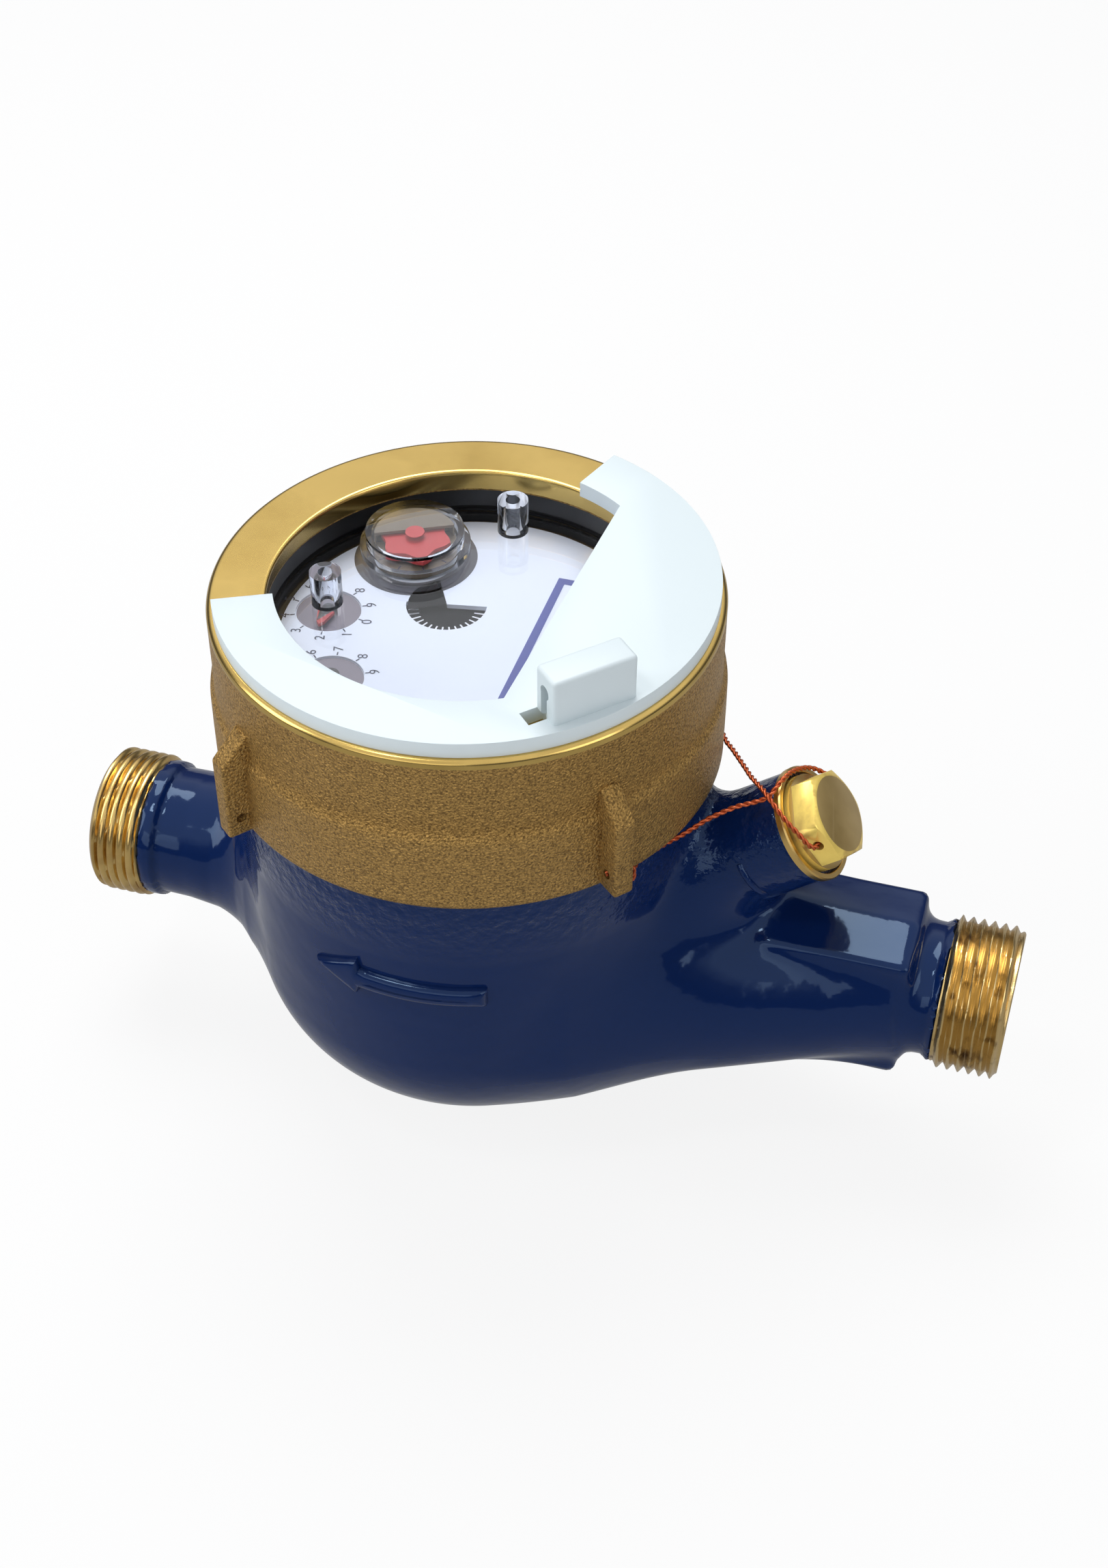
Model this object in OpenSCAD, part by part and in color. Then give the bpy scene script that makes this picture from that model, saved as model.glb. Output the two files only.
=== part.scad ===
// Multi-jet water meter with threaded pipe ends, a brass head ring and a pointer register.
// X runs along the pipe with the inlet at +X, Z is up, and the origin is the middle of the rest pad.

/* [Pipe ends] */
// Height of the pipe axis above the rest pad
axis_h = 34.5; // [34:0.5:37]
// Distance from the register axis to the inlet face
inlet_reach = 95.5; // [94:0.5:105]
// Distance from the register axis to the outlet face
outlet_reach = 69.5; // [68:0.5:80]
// Outer radius of the pipe threads
thread_r = 13.22; // [12.8:0.02:13.8]
// Length of the inlet thread
inlet_thread_l = 11.5; // [10:0.5:13]
// Length of the outlet thread
outlet_thread_l = 9.5; // [8:0.5:11]
// Edge break on the thread ends
thread_chamfer = 0.7; // [0.3:0.1:1.2]
// Radius of the relief neck behind each thread
neck_r = 11.6; // [11:0.1:12.2]
// Length of the relief neck at the inlet
neck_l = 5.4; // [4:0.2:7]
// Radius of the collar behind the outlet thread
collar_r = 12.7; // [12.3:0.1:13]
// Width of the collar behind the outlet thread
collar_w = 2.4; // [1.5:0.1:4]
// Radius of the water passages
bore_r = 7.5; // [6.8:0.1:8]

/* [Bowl] */
// Radius of the bowl at its widest level
bowl_r = 38.9; // [38.5:0.1:39.6]
// Depth of the bowl's round bottom below its widest level
bowl_depth = 31; // [29:0.5:31.5]
// Depth of the widest level below the pipe axis
bowl_drop = 3.8; // [3:0.1:5]
// Wall thickness of the casting
wall = 4; // [3:0.1:4.5]
// Radius of the flat rest pad
pad_r = 16; // [14:0.5:19]
// Radius of the shoulder under the head ring
shoulder_r = 39.9; // [39.5:0.1:41]
// Radius of the threaded head that carries the ring
head_r = 37.6; // [37:0.1:38]
// Radius of the bore that takes the chamber and the register
well_r = 34; // [33.6:0.1:34.4]
// Radius of the seat opening between the lower and upper spaces
seat_r = 26.4; // [26:0.1:28]
// Thickness of the seat ledge
seat_t = 3; // [2:0.5:4]
// Raised height of the flow arrow
arrow_relief = 1; // [0.5:0.1:1.5]
// Length of the flow arrow
arrow_l = 30; // [24:1:36]
// Height of the arrow head
arrow_head_h = 8; // [6:0.5:10]
// Height of the arrow shaft
arrow_shaft_h = 4.4; // [3:0.2:6]
// Height of the arrow above the pipe axis
arrow_rise = 15; // [10:0.5:20]

/* [Wrench block] */
// Half width of the wrench block
block_half_w = 9.8; // [8:0.2:11]
// Half height of the wrench block at its front and back edges
block_half_h = 12.8; // [12:0.2:14]
// Rise of the block's ridge above those edges
block_ridge = 1.5; // [0.5:0.1:3]
// Length of the wrench block
block_l = 25; // [20:1:30]
// Radius of the inlet fairing where it enters the bowl
fairing_r = 25.9; // [24:0.2:27]
// Drop of the inlet fairing's axis at the bowl
fairing_drop = 7.6; // [6:0.2:8.4]
// Distance from the register axis to the fairing's inner end
fairing_x = 22; // [20:0.5:24]
// Height of the fairing's underside where it enters the bowl
fairing_floor = 7.7; // [7:0.1:9]
// Length of the flare between the fairing and the bowl
flare_l = 15; // [12:0.5:16]
// Widening of that flare at the bowl
flare_grow = 4.9; // [3:0.1:5.4]

/* [Regulating boss] */
// Distance from the register axis to the middle of the boss face
boss_x = 58.8; // [57:0.2:61]
// Height of the middle of the boss face above the pipe axis
boss_rise = 32.4; // [31:0.2:34]
// Slope of the boss axis above the horizontal
boss_slope = 38; // [34:1:42]
// Radius of the boss
boss_r = 9.4; // [9:0.1:10]
// Radius of the machined rim on the boss face
rim_r = 9.7; // [9.4:0.1:10.4]
// Depth of the machined rim
rim_l = 1.2; // [0.8:0.1:2]
// Radius of the recess in the boss face
recess_r = 8.7; // [8.5:0.1:9]
// Depth of the recess in the boss face
recess_l = 1.8; // [1.4:0.1:2.4]
// Radius of the plug's shank
plug_shank_r = 6; // [5:0.1:6.4]
// Length of the plug's shank below its flange
plug_shank_l = 11; // [8:0.5:13]
// Distance across the flats of the plug's head
plug_flats = 13.8; // [13:0.1:14.4]
// Height of the plug's head above the boss face
plug_head_l = 4.9; // [4:0.1:6]
// Thickness of the sealing washer under the plug
washer_t = 0.8; // [0.5:0.1:1]
// Radius of the seal holes in the plug and the lugs
seal_hole_r = 0.9; // [0.7:0.05:1.1]
// Radius of the regulating screw
screw_r = 4; // [3:0.1:4.6]
// Length of the regulating screw
screw_l = 9; // [6:0.5:11]

/* [Head ring] */
// Height of the ring's lower rim above the pipe axis
ring_rise = 37.6; // [37:0.1:39]
// Height of the ring
ring_h = 29.7; // [29:0.1:31]
// Radius of the ring's lower rim
ring_r = 42.1; // [41.6:0.1:43]
// Radius of the ring above its waist
ring_upper_r = 41.2; // [40.6:0.1:41.5]
// Height of the waist above the lower rim
waist_h = 15.4; // [12:0.2:18]
// Radius of the opening in the ring's lip
lip_r = 31.7; // [31:0.1:32.2]
// Thickness of the ring's lip
lip_t = 4.1; // [3:0.1:4.4]
// Distance that the sealing lugs stand out from the ring's lower rim
lug_stand = 3.9; // [3.4:0.1:5]
// Width of a sealing lug
lug_w = 3.6; // [3:0.1:5]
// Height of a sealing lug at the ring
lug_h = 19.4; // [16:0.2:21]
// Angle of the first sealing lug
lug_angle = 49; // [45:1:53]
// Number of sealing lugs
lug_count = 4; // [2:1:4]

/* [Label ring] */
// Thickness of the label ring
label_t = 2.7; // [2:0.1:3.4]
// Outer radius of the label ring
label_r = 40.2; // [39.5:0.1:40.6]
// Inner radius of the label ring
label_in_r = 30.5; // [30:0.1:31.4]
// Angle of the label ring's left end
label_start = -155; // [-165:1:-145]
// Angle of the label ring's right end
label_end = 70; // [60:1:80]
// Distance of the segment's straight edge from the register axis
segment_x = 16.5; // [15:0.5:20]
// Turn of the label ring on the head
label_turn = -4.4; // [-8:0.2:4]
// Length of the hinge block
hinge_l = 14.2; // [12:0.1:17]
// Width of the hinge block
hinge_w = 5.6; // [4:0.1:6]
// Height of the hinge block above the label ring
hinge_h = 7.8; // [6:0.1:9]
// Radius of the hole for the hinge pin
hinge_pin_r = 1.2; // [0.8:0.1:1.5]

/* [Register] */
// Height of the black clamp ring under the lip
clamp_h = 3.2; // [2:0.1:5]
// Thickness of the clear cover's flange
cover_t = 2.6; // [2.4:0.1:3]
// Thickness of the clear cover's window
window_t = 1.6; // [1.2:0.1:1.8]
// Thickness of the rubber gasket under the cover
gasket_t = 1.2; // [1:0.1:2]
// Outer radius of the two hollow posts
post_r = 2.6; // [2:0.1:3]
// Bore radius of the two hollow posts
post_bore_r = 1.2; // [0.8:0.1:1.5]
// Height of the two hollow posts
post_h = 6; // [4:0.2:7]
// Radius of the lens over the star pointer
lens_r = 7.2; // [6.8:0.1:7.6]
// Height of the lens above the cover
lens_h = 3.6; // [2.6:0.1:4]
// Wall of the lens tower
lens_wall = 1; // [0.8:0.1:1.2]
// Thickness of the dial plate
dial_t = 0.8; // [0.6:0.1:1]
// Distance of the sub-dials from the register axis
subdial_x = 23.8; // [23.4:0.1:24]
// Angle between neighbouring sub-dials
subdial_step = 42; // [40:0.5:43]
// Radius of a sub-dial's recess
subdial_r = 5.4; // [4.6:0.1:6]
// Angle of the tick disc and the star pointer
star_angle = 130; // [126:1:134]
// Radius of the number wheels
number_r = 3.1; // [2.6:0.1:3.2]
// Width of one number wheel
number_w = 4.4; // [4:0.1:5]
// Distance of the number wheels from the register axis
number_x = 15; // [13.5:0.1:17]

/* [Gear train] */
// Tooth module of the register gears
gear_m = 0.5; // [0.48:0.005:0.51]
// Teeth of the small pinions
pinion_n = 9; // [9:1:9]
// Teeth of the wheels that a third ratio needs
third_n = 27; // [27:1:27]
// Teeth of the wheels that a three tenths ratio needs
tenth_n = 30; // [30:1:30]
// Teeth of the star pointer's wheel
star_n = 28; // [26:1:28]
// Face width of the gears
gear_w = 2.4; // [1.8:0.1:2.6]
// Distance between the gear levels
level_h = 3; // [2.9:0.1:3.2]
// Radius of the gear arbors
arbor_r = 0.75; // [0.6:0.05:0.8]
// Running clearance of arbors and pivots
running = 0.05; // [0.02:0.01:0.08]

/* [Measuring chamber] */
// Outer radius of the measuring chamber
chamber_r = 26; // [25:0.1:26.2]
// Wall of the measuring chamber
chamber_wall = 2.4; // [1.6:0.1:3]
// Depth of the chamber below the seat
chamber_depth = 18; // [15:0.5:20]
// Height of the chamber above the seat
chamber_rise = 24; // [22:0.5:26]
// Thickness of the chamber's flange
flange_t = 2; // [1.5:0.1:3]
// Thickness of the chamber cover
lid_t = 4; // [3:0.1:5]
// Number of tangential jets
jet_count = 10; // [6:1:12]
// Radius of an inlet jet
jet_r = 2.2; // [1.5:0.1:2.6]
// Radius of an outlet jet
outlet_jet_r = 2.6; // [2:0.1:3]
// Radius of the impeller blades
blade_r = 21; // [18:0.2:22]
// Thickness of an impeller blade
blade_t = 1; // [0.8:0.1:1.5]
// Number of impeller blades
blade_count = 7; // [5:1:9]
// Radius of the impeller hub
hub_r = 3; // [2.6:0.1:4]
// Radius of the fixed pivot pin
pivot_r = 0.8; // [0.6:0.05:1]

/* [Hidden] */
$fn = 64;
fit = 0.15;
play = 0.3;
cut = 1;

// Tooth shape in shares of the tooth pitch and the module
addendum = 0.8;
dedendum = 1.1;
root_share = 0.22;
pitch_share = 0.17;
tip_share = 0.07;

// Levels, measured from the rest pad
bowl_mid_z = axis_h - bowl_drop;
ring_z = axis_h + ring_rise;
ring_top = ring_z + ring_h;
lip_z = ring_top - lip_t;
cover_top = lip_z - clamp_h;
cover_z = cover_top - cover_t;
body_top = cover_z - gasket_t;
seat_z = axis_h + seat_t;
lid_z = seat_z + chamber_rise;
case_z = lid_z + lid_t;
case_floor_t = 1.6;
floor_z = case_z + case_floor_t;
level_z = floor_z + 0.8;
plate_z = level_z + 4 * level_h + gear_w + 0.4;
plate_t = 1;
dial_top = cover_z - 0.4;
dial_z = dial_top - dial_t;
window_z = cover_top - window_t;

// Bowl outline, grown by a relief where the flow arrow needs it
function bowl_arc(a, b, first) = [for (t = [first:-6:0]) [a * cos(t), bowl_mid_z - b * sin(t)]];
pad_blend = 48;
function bowl_outline(grow) = concat(
    [[0, 0], [pad_r, 0]],
    bowl_arc(bowl_r + grow, bowl_depth + grow, pad_blend),
    [[bowl_r + grow, axis_h + 20], [shoulder_r + grow, ring_z - 3], [shoulder_r + grow, ring_z - play],
     [head_r, ring_z - play], [head_r, body_top], [0, body_top]]);
function cavity_outline() = concat(
    [[0, wall], [pad_r - 2, wall]],
    bowl_arc(bowl_r - wall, bowl_depth - wall, pad_blend),
    [[bowl_r - wall, axis_h], [seat_r, axis_h], [seat_r, seat_z], [well_r, seat_z],
     [well_r, body_top + cut], [0, body_top + cut]]);

// Frame of the slanting boss: its own Z points out of the boss face
module at_boss(out = 0) {
    translate([boss_x, 0, axis_h + boss_rise])
        rotate([0, 90 - boss_slope, 0])
            translate([0, 0, out]) children();
}
module along_x(x, z = axis_h) { translate([x, 0, z]) rotate([0, 90, 0]) children(); }

// Chamfered thread outline, kept plain at its outer radius, from its root to the pipe's end
function thread_outline(root, end) =
    [[thread_r - thread_chamfer, root], [thread_r, root + thread_chamfer], [thread_r, end - thread_chamfer],
     [thread_r - thread_chamfer, end], [0, end]];
arrow_tip_x = -arrow_l / 2;
arrow_neck_x = arrow_tip_x + arrow_l * 0.27;
module arrow_shape() {
    polygon([[arrow_tip_x, 0], [arrow_neck_x, arrow_head_h / 2], [arrow_neck_x, arrow_shaft_h / 2],
        [arrow_l / 2, arrow_shaft_h / 2], [arrow_l / 2, -arrow_shaft_h / 2],
        [arrow_neck_x, -arrow_shaft_h / 2], [arrow_neck_x, -arrow_head_h / 2]]);
}
module flow_arrow() {
    intersection() {
        rotate_extrude() polygon(bowl_outline(arrow_relief));
        translate([0, -bowl_r + wall, axis_h + arrow_rise]) rotate([90, 0, 0])
            linear_extrude(height = 2 * wall) arrow_shape();
    }
}
inlet_root = inlet_reach - inlet_thread_l;
outlet_root = outlet_reach - outlet_thread_l;
block_x = inlet_root - neck_l;
fairing_start = block_x - 2.1;
fairing_run = fairing_start - fairing_x;
flare_share = 1 - flare_l / fairing_run;
flare_start_r = (neck_r + 0.5) + (fairing_r - neck_r - 0.5) * flare_share - 0.9;
flare_rise = flare_grow - fairing_drop * (1 - flare_share);
module inlet_flare() {
    tilt = atan2(flare_rise, flare_l);
    translate([fairing_x + flare_l, 0, axis_h - fairing_drop * flare_share]) rotate([0, tilt - 90, 0])
        cylinder(h = flare_l / cos(tilt), r1 = flare_start_r, r2 = fairing_r + flare_grow);
}
module inlet_fairing() {
    tilt = atan2(fairing_drop, fairing_run);
    intersection() {
        union() {
            translate([fairing_start, 0, axis_h]) rotate([0, -90 - tilt, 0])
                cylinder(h = fairing_run / cos(tilt), r1 = neck_r + 0.5, r2 = fairing_r);
            inlet_flare();
        }
        rotate_extrude()
            polygon([[0, fairing_floor - 6], [fairing_x, fairing_floor], [inlet_reach, axis_h - neck_r + 3],
                [inlet_reach, body_top], [0, body_top]]);
    }
}
module inlet_neck() {
    translate([0, 0, axis_h]) rotate([0, 90, 0]) rotate_extrude()
        polygon(concat([[0, block_x - 6], [neck_r, block_x - 6], [neck_r, inlet_root]],
            thread_outline(inlet_root, inlet_reach)));
}
module wrench_block() {
    tall = block_half_h + block_ridge;
    translate([block_x - block_l, 0, axis_h]) rotate([90, 0, 90]) linear_extrude(height = block_l)
        polygon([[0, tall], [-block_half_w, block_half_h], [-block_half_w, -block_half_h], [0, -tall],
            [block_half_w, -block_half_h], [block_half_w, block_half_h]]);
}
// Outlet neck with a flare into the bowl: radius, and distance out from the bowl's side
flare_r = 20.5;
flare = [[flare_r, -8.9], [19, -1.9], [15.5, 1.1], [12.7, 7.1]];
module outlet_neck() {
    translate([0, 0, axis_h]) rotate([0, -90, 0]) rotate_extrude()
        polygon(concat([[0, bowl_r + flare[0][1]]], [for (f = flare) [f[0], bowl_r + f[1]]],
            [[neck_r, bowl_r + 13], [neck_r, outlet_root - collar_w], [collar_r, outlet_root - collar_w],
             [collar_r, outlet_root]], thread_outline(outlet_root, outlet_reach)));
}
boss_root = 30;
boss_skirt = 14;
boss_skirt_r = 13;
module boss_solid() {
    at_boss() rotate_extrude()
        polygon([[0, -boss_root], [boss_skirt_r, -boss_root], [boss_r, -boss_skirt], [boss_r, -rim_l],
            [rim_r, -rim_l], [rim_r, 0], [0, 0]]);
}
plug_bore_l = recess_l + plug_shank_l + 2;
bypass_r = 2.4;
screw_bore_l = plug_bore_l + screw_l + 3;
module boss_bores() {
    at_boss(-recess_l) cylinder(h = recess_l + cut, r = recess_r);
    at_boss(-plug_bore_l) cylinder(h = plug_bore_l, r = plug_shank_r + fit);
    at_boss(-screw_bore_l) cylinder(h = screw_bore_l, r = screw_r + fit);
    at_boss(-boss_root - 8) cylinder(h = boss_root, r = bypass_r);
}
// The passages turn down to the lower space and up to the upper space
inlet_turn_x = inlet_reach - 26;
inlet_fall = 9;
outlet_turn_x = well_r + 16;
outlet_climb = 31;
rise_r = bore_r - 1.5;
module water_passages() {
    along_x(inlet_turn_x) cylinder(h = inlet_reach - inlet_turn_x + cut, r = bore_r);
    run = inlet_turn_x - fairing_x + 6;
    tilt = atan2(inlet_fall, run);
    translate([inlet_turn_x + 2, 0, axis_h]) rotate([0, -90 - tilt, 0])
        cylinder(h = run / cos(tilt), r = bore_r - 0.5);
    along_x(-outlet_reach - cut) cylinder(h = outlet_reach - outlet_turn_x + cut, r = bore_r);
    translate([-outlet_turn_x, 0, axis_h]) rotate([0, 90 - outlet_climb, 0]) cylinder(h = 24, r = rise_r);
}
module body() {
    color([0.09, 0.13, 0.33]) difference() {
        union() {
            rotate_extrude() polygon(bowl_outline(0));
            inlet_fairing();
            wrench_block();
            inlet_neck();
            outlet_neck();
            boss_solid();
            flow_arrow();
        }
        rotate_extrude() polygon(cavity_outline());
        water_passages();
        boss_bores();
    }
}

// Brass ring that screws over the head and clamps the register
ring_bore_r = head_r + fit;
waist_z = ring_z + waist_h;
ring_edge = 0.4;
lug_reach = ring_r + lug_stand;
lug_hole_x = (ring_r + lug_reach) / 2 - 0.4;
lug_hole_z = ring_z + 3.6;
module sealing_lug() {
    difference() {
        translate([0, lug_w / 2, 0]) rotate([90, 0, 0]) linear_extrude(height = lug_w)
            polygon([[ring_bore_r + 1, ring_z], [lug_reach, ring_z], [lug_reach, ring_z + lug_h - 4.8],
                [ring_upper_r, ring_z + lug_h], [ring_bore_r + 1, ring_z + lug_h]]);
        translate([lug_hole_x, 0, lug_hole_z]) rotate([90, 0, 0])
            cylinder(h = lug_w + 2 * cut, r = seal_hole_r, center = true);
    }
}
module head_ring() {
    color([0.47, 0.36, 0.21]) union() {
        rotate_extrude()
            polygon([[ring_bore_r, ring_z], [ring_r - ring_edge, ring_z], [ring_r, ring_z + ring_edge],
                [(ring_r + ring_upper_r) / 2, waist_z - 1.2], [ring_upper_r, waist_z + 1.2],
                [ring_upper_r, ring_top - ring_edge], [ring_upper_r - ring_edge, ring_top],
                [lip_r, ring_top], [lip_r + 0.6, lip_z], [ring_bore_r, lip_z]]);
        for (i = [0:lug_count - 1]) rotate(lug_angle + i * 360 / lug_count) sealing_lug();
    }
}

// White label ring, a C with a wide segment and the block of a lid hinge
function arc(r, from, to, n = 40) =
    [for (i = [0:n]) let (a = from + (to - from) * i / n) r * [cos(a), sin(a)]];
label_top = ring_top + label_t;
hinge_angle = -45;
hinge_back = 32.9;
hinge_left = -5.4;
slot_w = 3;
module label_outline() {
    polygon(concat(arc(label_r, label_start, label_end), arc(label_in_r, label_end, label_start)));
    intersection() {
        polygon(arc(label_r, -90, label_end));
        rotate(label_turn) translate([segment_x, -label_r]) square([label_r, 2 * label_r]);
        circle(r = label_in_r + fit);
    }
}
module label_ring() {
    color([0.9, 0.93, 0.96]) difference() {
        union() {
            translate([0, 0, ring_top]) linear_extrude(height = label_t) label_outline();
            rotate(hinge_angle) translate([hinge_back, hinge_left, label_top - cut])
                cube([hinge_w, hinge_l, hinge_h + cut]);
        }
        rotate(hinge_angle) translate([hinge_back + hinge_w / 2, hinge_left - cut, label_top + hinge_h / 2])
            rotate([-90, 0, 0]) cylinder(h = 6 + cut, r = hinge_pin_r);
        rotate(hinge_angle) translate([hinge_back + 0.6, hinge_left - slot_w, ring_top - cut])
            cube([slot_w, slot_w + 1, label_t + hinge_h / 2 + cut]);
    }
}

// Plug, washer and screw in the regulating boss
plug_flange_z = -recess_l + washer_t;
plug_base_z = 0.66;
plug_chamfer = 0.7;
hex_corner_r = plug_flats / sqrt(3);
plug_hole_z = 2.5;
module regulating_plug() {
    color([0.72, 0.55, 0.25]) difference() {
        union() {
            at_boss(plug_flange_z - plug_shank_l) cylinder(h = plug_shank_l, r = plug_shank_r);
            at_boss(plug_flange_z) cylinder(h = plug_base_z - plug_flange_z, r = recess_r - 0.6);
            intersection() {
                at_boss(plug_base_z - 0.1)
                    cylinder(h = plug_head_l - plug_base_z + 0.1, r = hex_corner_r, $fn = 6);
                at_boss(0) rotate_extrude()
                    polygon([[0, 0], [hex_corner_r, 0], [hex_corner_r, plug_head_l - plug_chamfer],
                        [plug_flats / 2 - 0.5, plug_head_l], [0, plug_head_l]]);
            }
        }
        at_boss(plug_hole_z) rotate([90, 0, 0])
            cylinder(h = 4 * hex_corner_r, r = seal_hole_r, center = true);
    }
}
module plug_washer() {
    color([0.12, 0.12, 0.12]) difference() {
        at_boss(-recess_l) cylinder(h = washer_t, r = recess_r - 0.4);
        at_boss(-recess_l - cut) cylinder(h = washer_t + 2 * cut, r = plug_shank_r + fit);
    }
}
module regulating_screw() {
    color([0.75, 0.6, 0.3]) difference() {
        at_boss(-screw_bore_l + play) cylinder(h = screw_l, r = screw_r);
        at_boss(-screw_bore_l + play + screw_l - 1.2)
            translate([-2 * screw_r, -0.5, 0]) cube([4 * screw_r, 1, 3]);
    }
}

// Register housing under the ring's lip
clamp_r = ring_bore_r - play;
module tube(r, inner_r, z, h) {
    translate([0, 0, z]) difference() {
        cylinder(h = h, r = r);
        translate([0, 0, -cut]) cylinder(h = h + 2 * cut, r = inner_r);
    }
}
module clamp_ring() { color([0.05, 0.05, 0.05]) tube(clamp_r, lip_r + 0.7, cover_top, clamp_h); }
module cover_gasket() { color([0.08, 0.08, 0.08]) tube(head_r - play, well_r, body_top, gasket_t); }

post_1 = [-23.7, -0.5];
post_2 = [-0.4, 26.4];
tower_step_r = lens_r + lens_wall + 1;
tower_step_h = 1.2;
cover_inner_r = well_r - 1.6;
module at_star(z) { translate([star_at[0], star_at[1], z]) children(); }
module register_cover() {
    color([0.85, 0.9, 0.95, 0.35]) difference() {
        union() {
            translate([0, 0, window_z]) cylinder(h = window_t, r = clamp_r);
            tube(clamp_r, cover_inner_r, cover_z, cover_t);
            at_star(cover_top - 0.5) cylinder(h = tower_step_h + 0.5, r = tower_step_r);
            at_star(cover_top - 0.5) cylinder(h = lens_h + 0.5, r = lens_r + lens_wall);
            for (p = [post_1, post_2])
                translate([p[0], p[1], cover_top - 0.5]) cylinder(h = post_h + 0.5, r = post_r);
        }
        at_star(window_z - cut) cylinder(h = window_t + lens_h - lens_wall + cut, r = lens_r);
        for (p = [post_1, post_2])
            translate([p[0], p[1], cover_top]) cylinder(h = post_h + cut, r = post_bore_r);
    }
}
case_r = well_r - 0.4;
wheel_reach = subdial_x + (tenth_n / 2 + addendum) * gear_m;
case_in_r = wheel_reach + play;
spacer_r = case_in_r - fit;
spacer_wall = 2.4;
dial_r = spacer_r - spacer_wall / 2;
module register_case() {
    color([0.04, 0.04, 0.045]) difference() {
        translate([0, 0, case_z]) cylinder(h = cover_z - case_z, r = case_r);
        translate([0, 0, floor_z]) cylinder(h = cover_z, r = case_in_r);
        translate([0, 0, case_z - cut]) cylinder(h = case_floor_t + 2 * cut, r = shaft_r + 0.6);
        for (a = arbor_places) translate([a[0], a[1], case_z + 0.3])
            cylinder(h = case_floor_t, r = arbor_r + running);
    }
}
module dial_spacer() {
    color([0.04, 0.04, 0.045])
        tube(spacer_r, spacer_r - spacer_wall, plate_z + plate_t, dial_z - plate_z - plate_t);
}
window_x = [number_x - number_r + 0.5, number_x + number_r - 0.5];
wheels_l = 5 * (number_w + 0.4);
wheels_y = -11;
tick_r = third_n * gear_m / 2 + 0.8;
module dial_plate() {
    color([0.93, 0.94, 0.98]) difference() {
        translate([0, 0, dial_z]) cylinder(h = dial_t, r = dial_r);
        translate([window_x[0], wheels_y - 0.6, dial_z - cut])
            cube([window_x[1] - window_x[0], wheels_l + 0.8, dial_t + 2 * cut]);
        for (p = pointers_at) {
            translate([p[0], p[1], dial_top - dial_t / 2]) cylinder(h = dial_t, r = subdial_r);
            translate([p[0], p[1], dial_z - cut]) cylinder(h = dial_t + 2 * cut, r = arbor_r + 0.5);
        }
        at_star(dial_z - cut) cylinder(h = dial_t + 2 * cut, r = arbor_r + 0.5);
        intersection() {
            translate([tick_at[0], tick_at[1], dial_z - cut])
                cylinder(h = dial_t + 2 * cut, r = tick_r - 0.9);
            translate([tick_at[0], tick_at[1], dial_z - 2 * cut]) rotate(10) translate([-20, -20, 0])
                cube([40, 20, 4 * cut + dial_t]);
        }
    }
}
star_z = cover_top + 0.9;
star_t = 0.7;
star_r = lens_r - 1;
star_seat_r = lens_r - 0.3;
mask_r = star_seat_r - 0.15;
// Half disc over the far half of the star, on a wall around it
mask_turn = 26;
mask_edge = 0.9;
mask_z = star_z + star_t + 0.3;
mask_t = 0.5;
module star_mask() {
    rotate(mask_turn) intersection() {
        difference() {
            translate([0, 0, cover_top]) cylinder(h = mask_z + mask_t - cover_top, r = mask_r);
            translate([0, 0, cover_top - cut]) cylinder(h = mask_z - cover_top + cut, r = star_r + 0.3);
        }
        translate([-lens_r, mask_edge, dial_top]) cube([2 * lens_r, lens_r, mask_z + lens_r - dial_top]);
    }
}
module star_dial() {
    color([0.72, 0.68, 0.6]) translate([star_at[0], star_at[1], 0]) {
        difference() {
            union() {
                translate([0, 0, dial_top]) cylinder(h = cover_top - dial_top, r = lens_r - 3);
                translate([0, 0, cover_top - 0.7]) cylinder(h = 0.9, r = star_seat_r);
            }
            translate([0, 0, dial_z]) cylinder(h = star_z - dial_z, r = arbor_r + 0.3);
        }
        star_mask();
    }
}

function tooth(n, a) =
    let (p = 360 / n)
    [for (s = [[-dedendum, -root_share], [0, -pitch_share], [addendum, -tip_share],
               [addendum, tip_share], [0, pitch_share], [-dedendum, root_share]])
        (n / 2 + s[0]) * gear_m * [cos(a + s[1] * p), sin(a + s[1] * p)]];
module gear(n, phase, level, hub = 0) {
    translate([0, 0, level_z + level * level_h]) linear_extrude(height = gear_w)
        polygon([for (k = [0:n - 1]) each tooth(n, phase + k * 360 / n)]);
}
// Phase that puts a gap of the second gear opposite a tooth of the first
function mesh_phase(n1, phase1, dir, n2) = dir + 180 - (0.5 - (dir - phase1) * n1 / 360) * 360 / n2;
function spacing(n1, n2) = (n1 + n2) * gear_m / 2;
function dir_of(p, q) = atan2(q[1] - p[1], q[0] - p[0]);
// Point at distance a from p and b from q, on the left of the line from p to q
function corner_at(p, a, q, b) =
    let (d = norm(q - p), u = (q - p) / d, x = (d * d + a * a - b * b) / (2 * d))
    let (h = sqrt(max(0, a * a - x * x)))
    p + x * u + h * [-u[1], u[0]];

shaft_at = [0, 0];
tick_at = spacing(pinion_n, third_n) * [cos(star_angle), sin(star_angle)];
star_at = tick_at + spacing(third_n, star_n) * [cos(star_angle), sin(star_angle)];
function subdial_at(i) = subdial_x * [cos(180 + i * subdial_step), sin(180 + i * subdial_step)];
pointers_at = [for (i = [0:3]) subdial_at(i)];
stage_a = spacing(pinion_n, third_n);
stage_b = spacing(pinion_n, tenth_n);
idlers_at = [for (i = [0:2]) corner_at(pointers_at[i], stage_a, pointers_at[i + 1], stage_b)];
transfer_at = corner_at(pointers_at[0], stage_b, tick_at, stage_b);
arbor_places = concat([tick_at, star_at, transfer_at], pointers_at, idlers_at);

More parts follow.
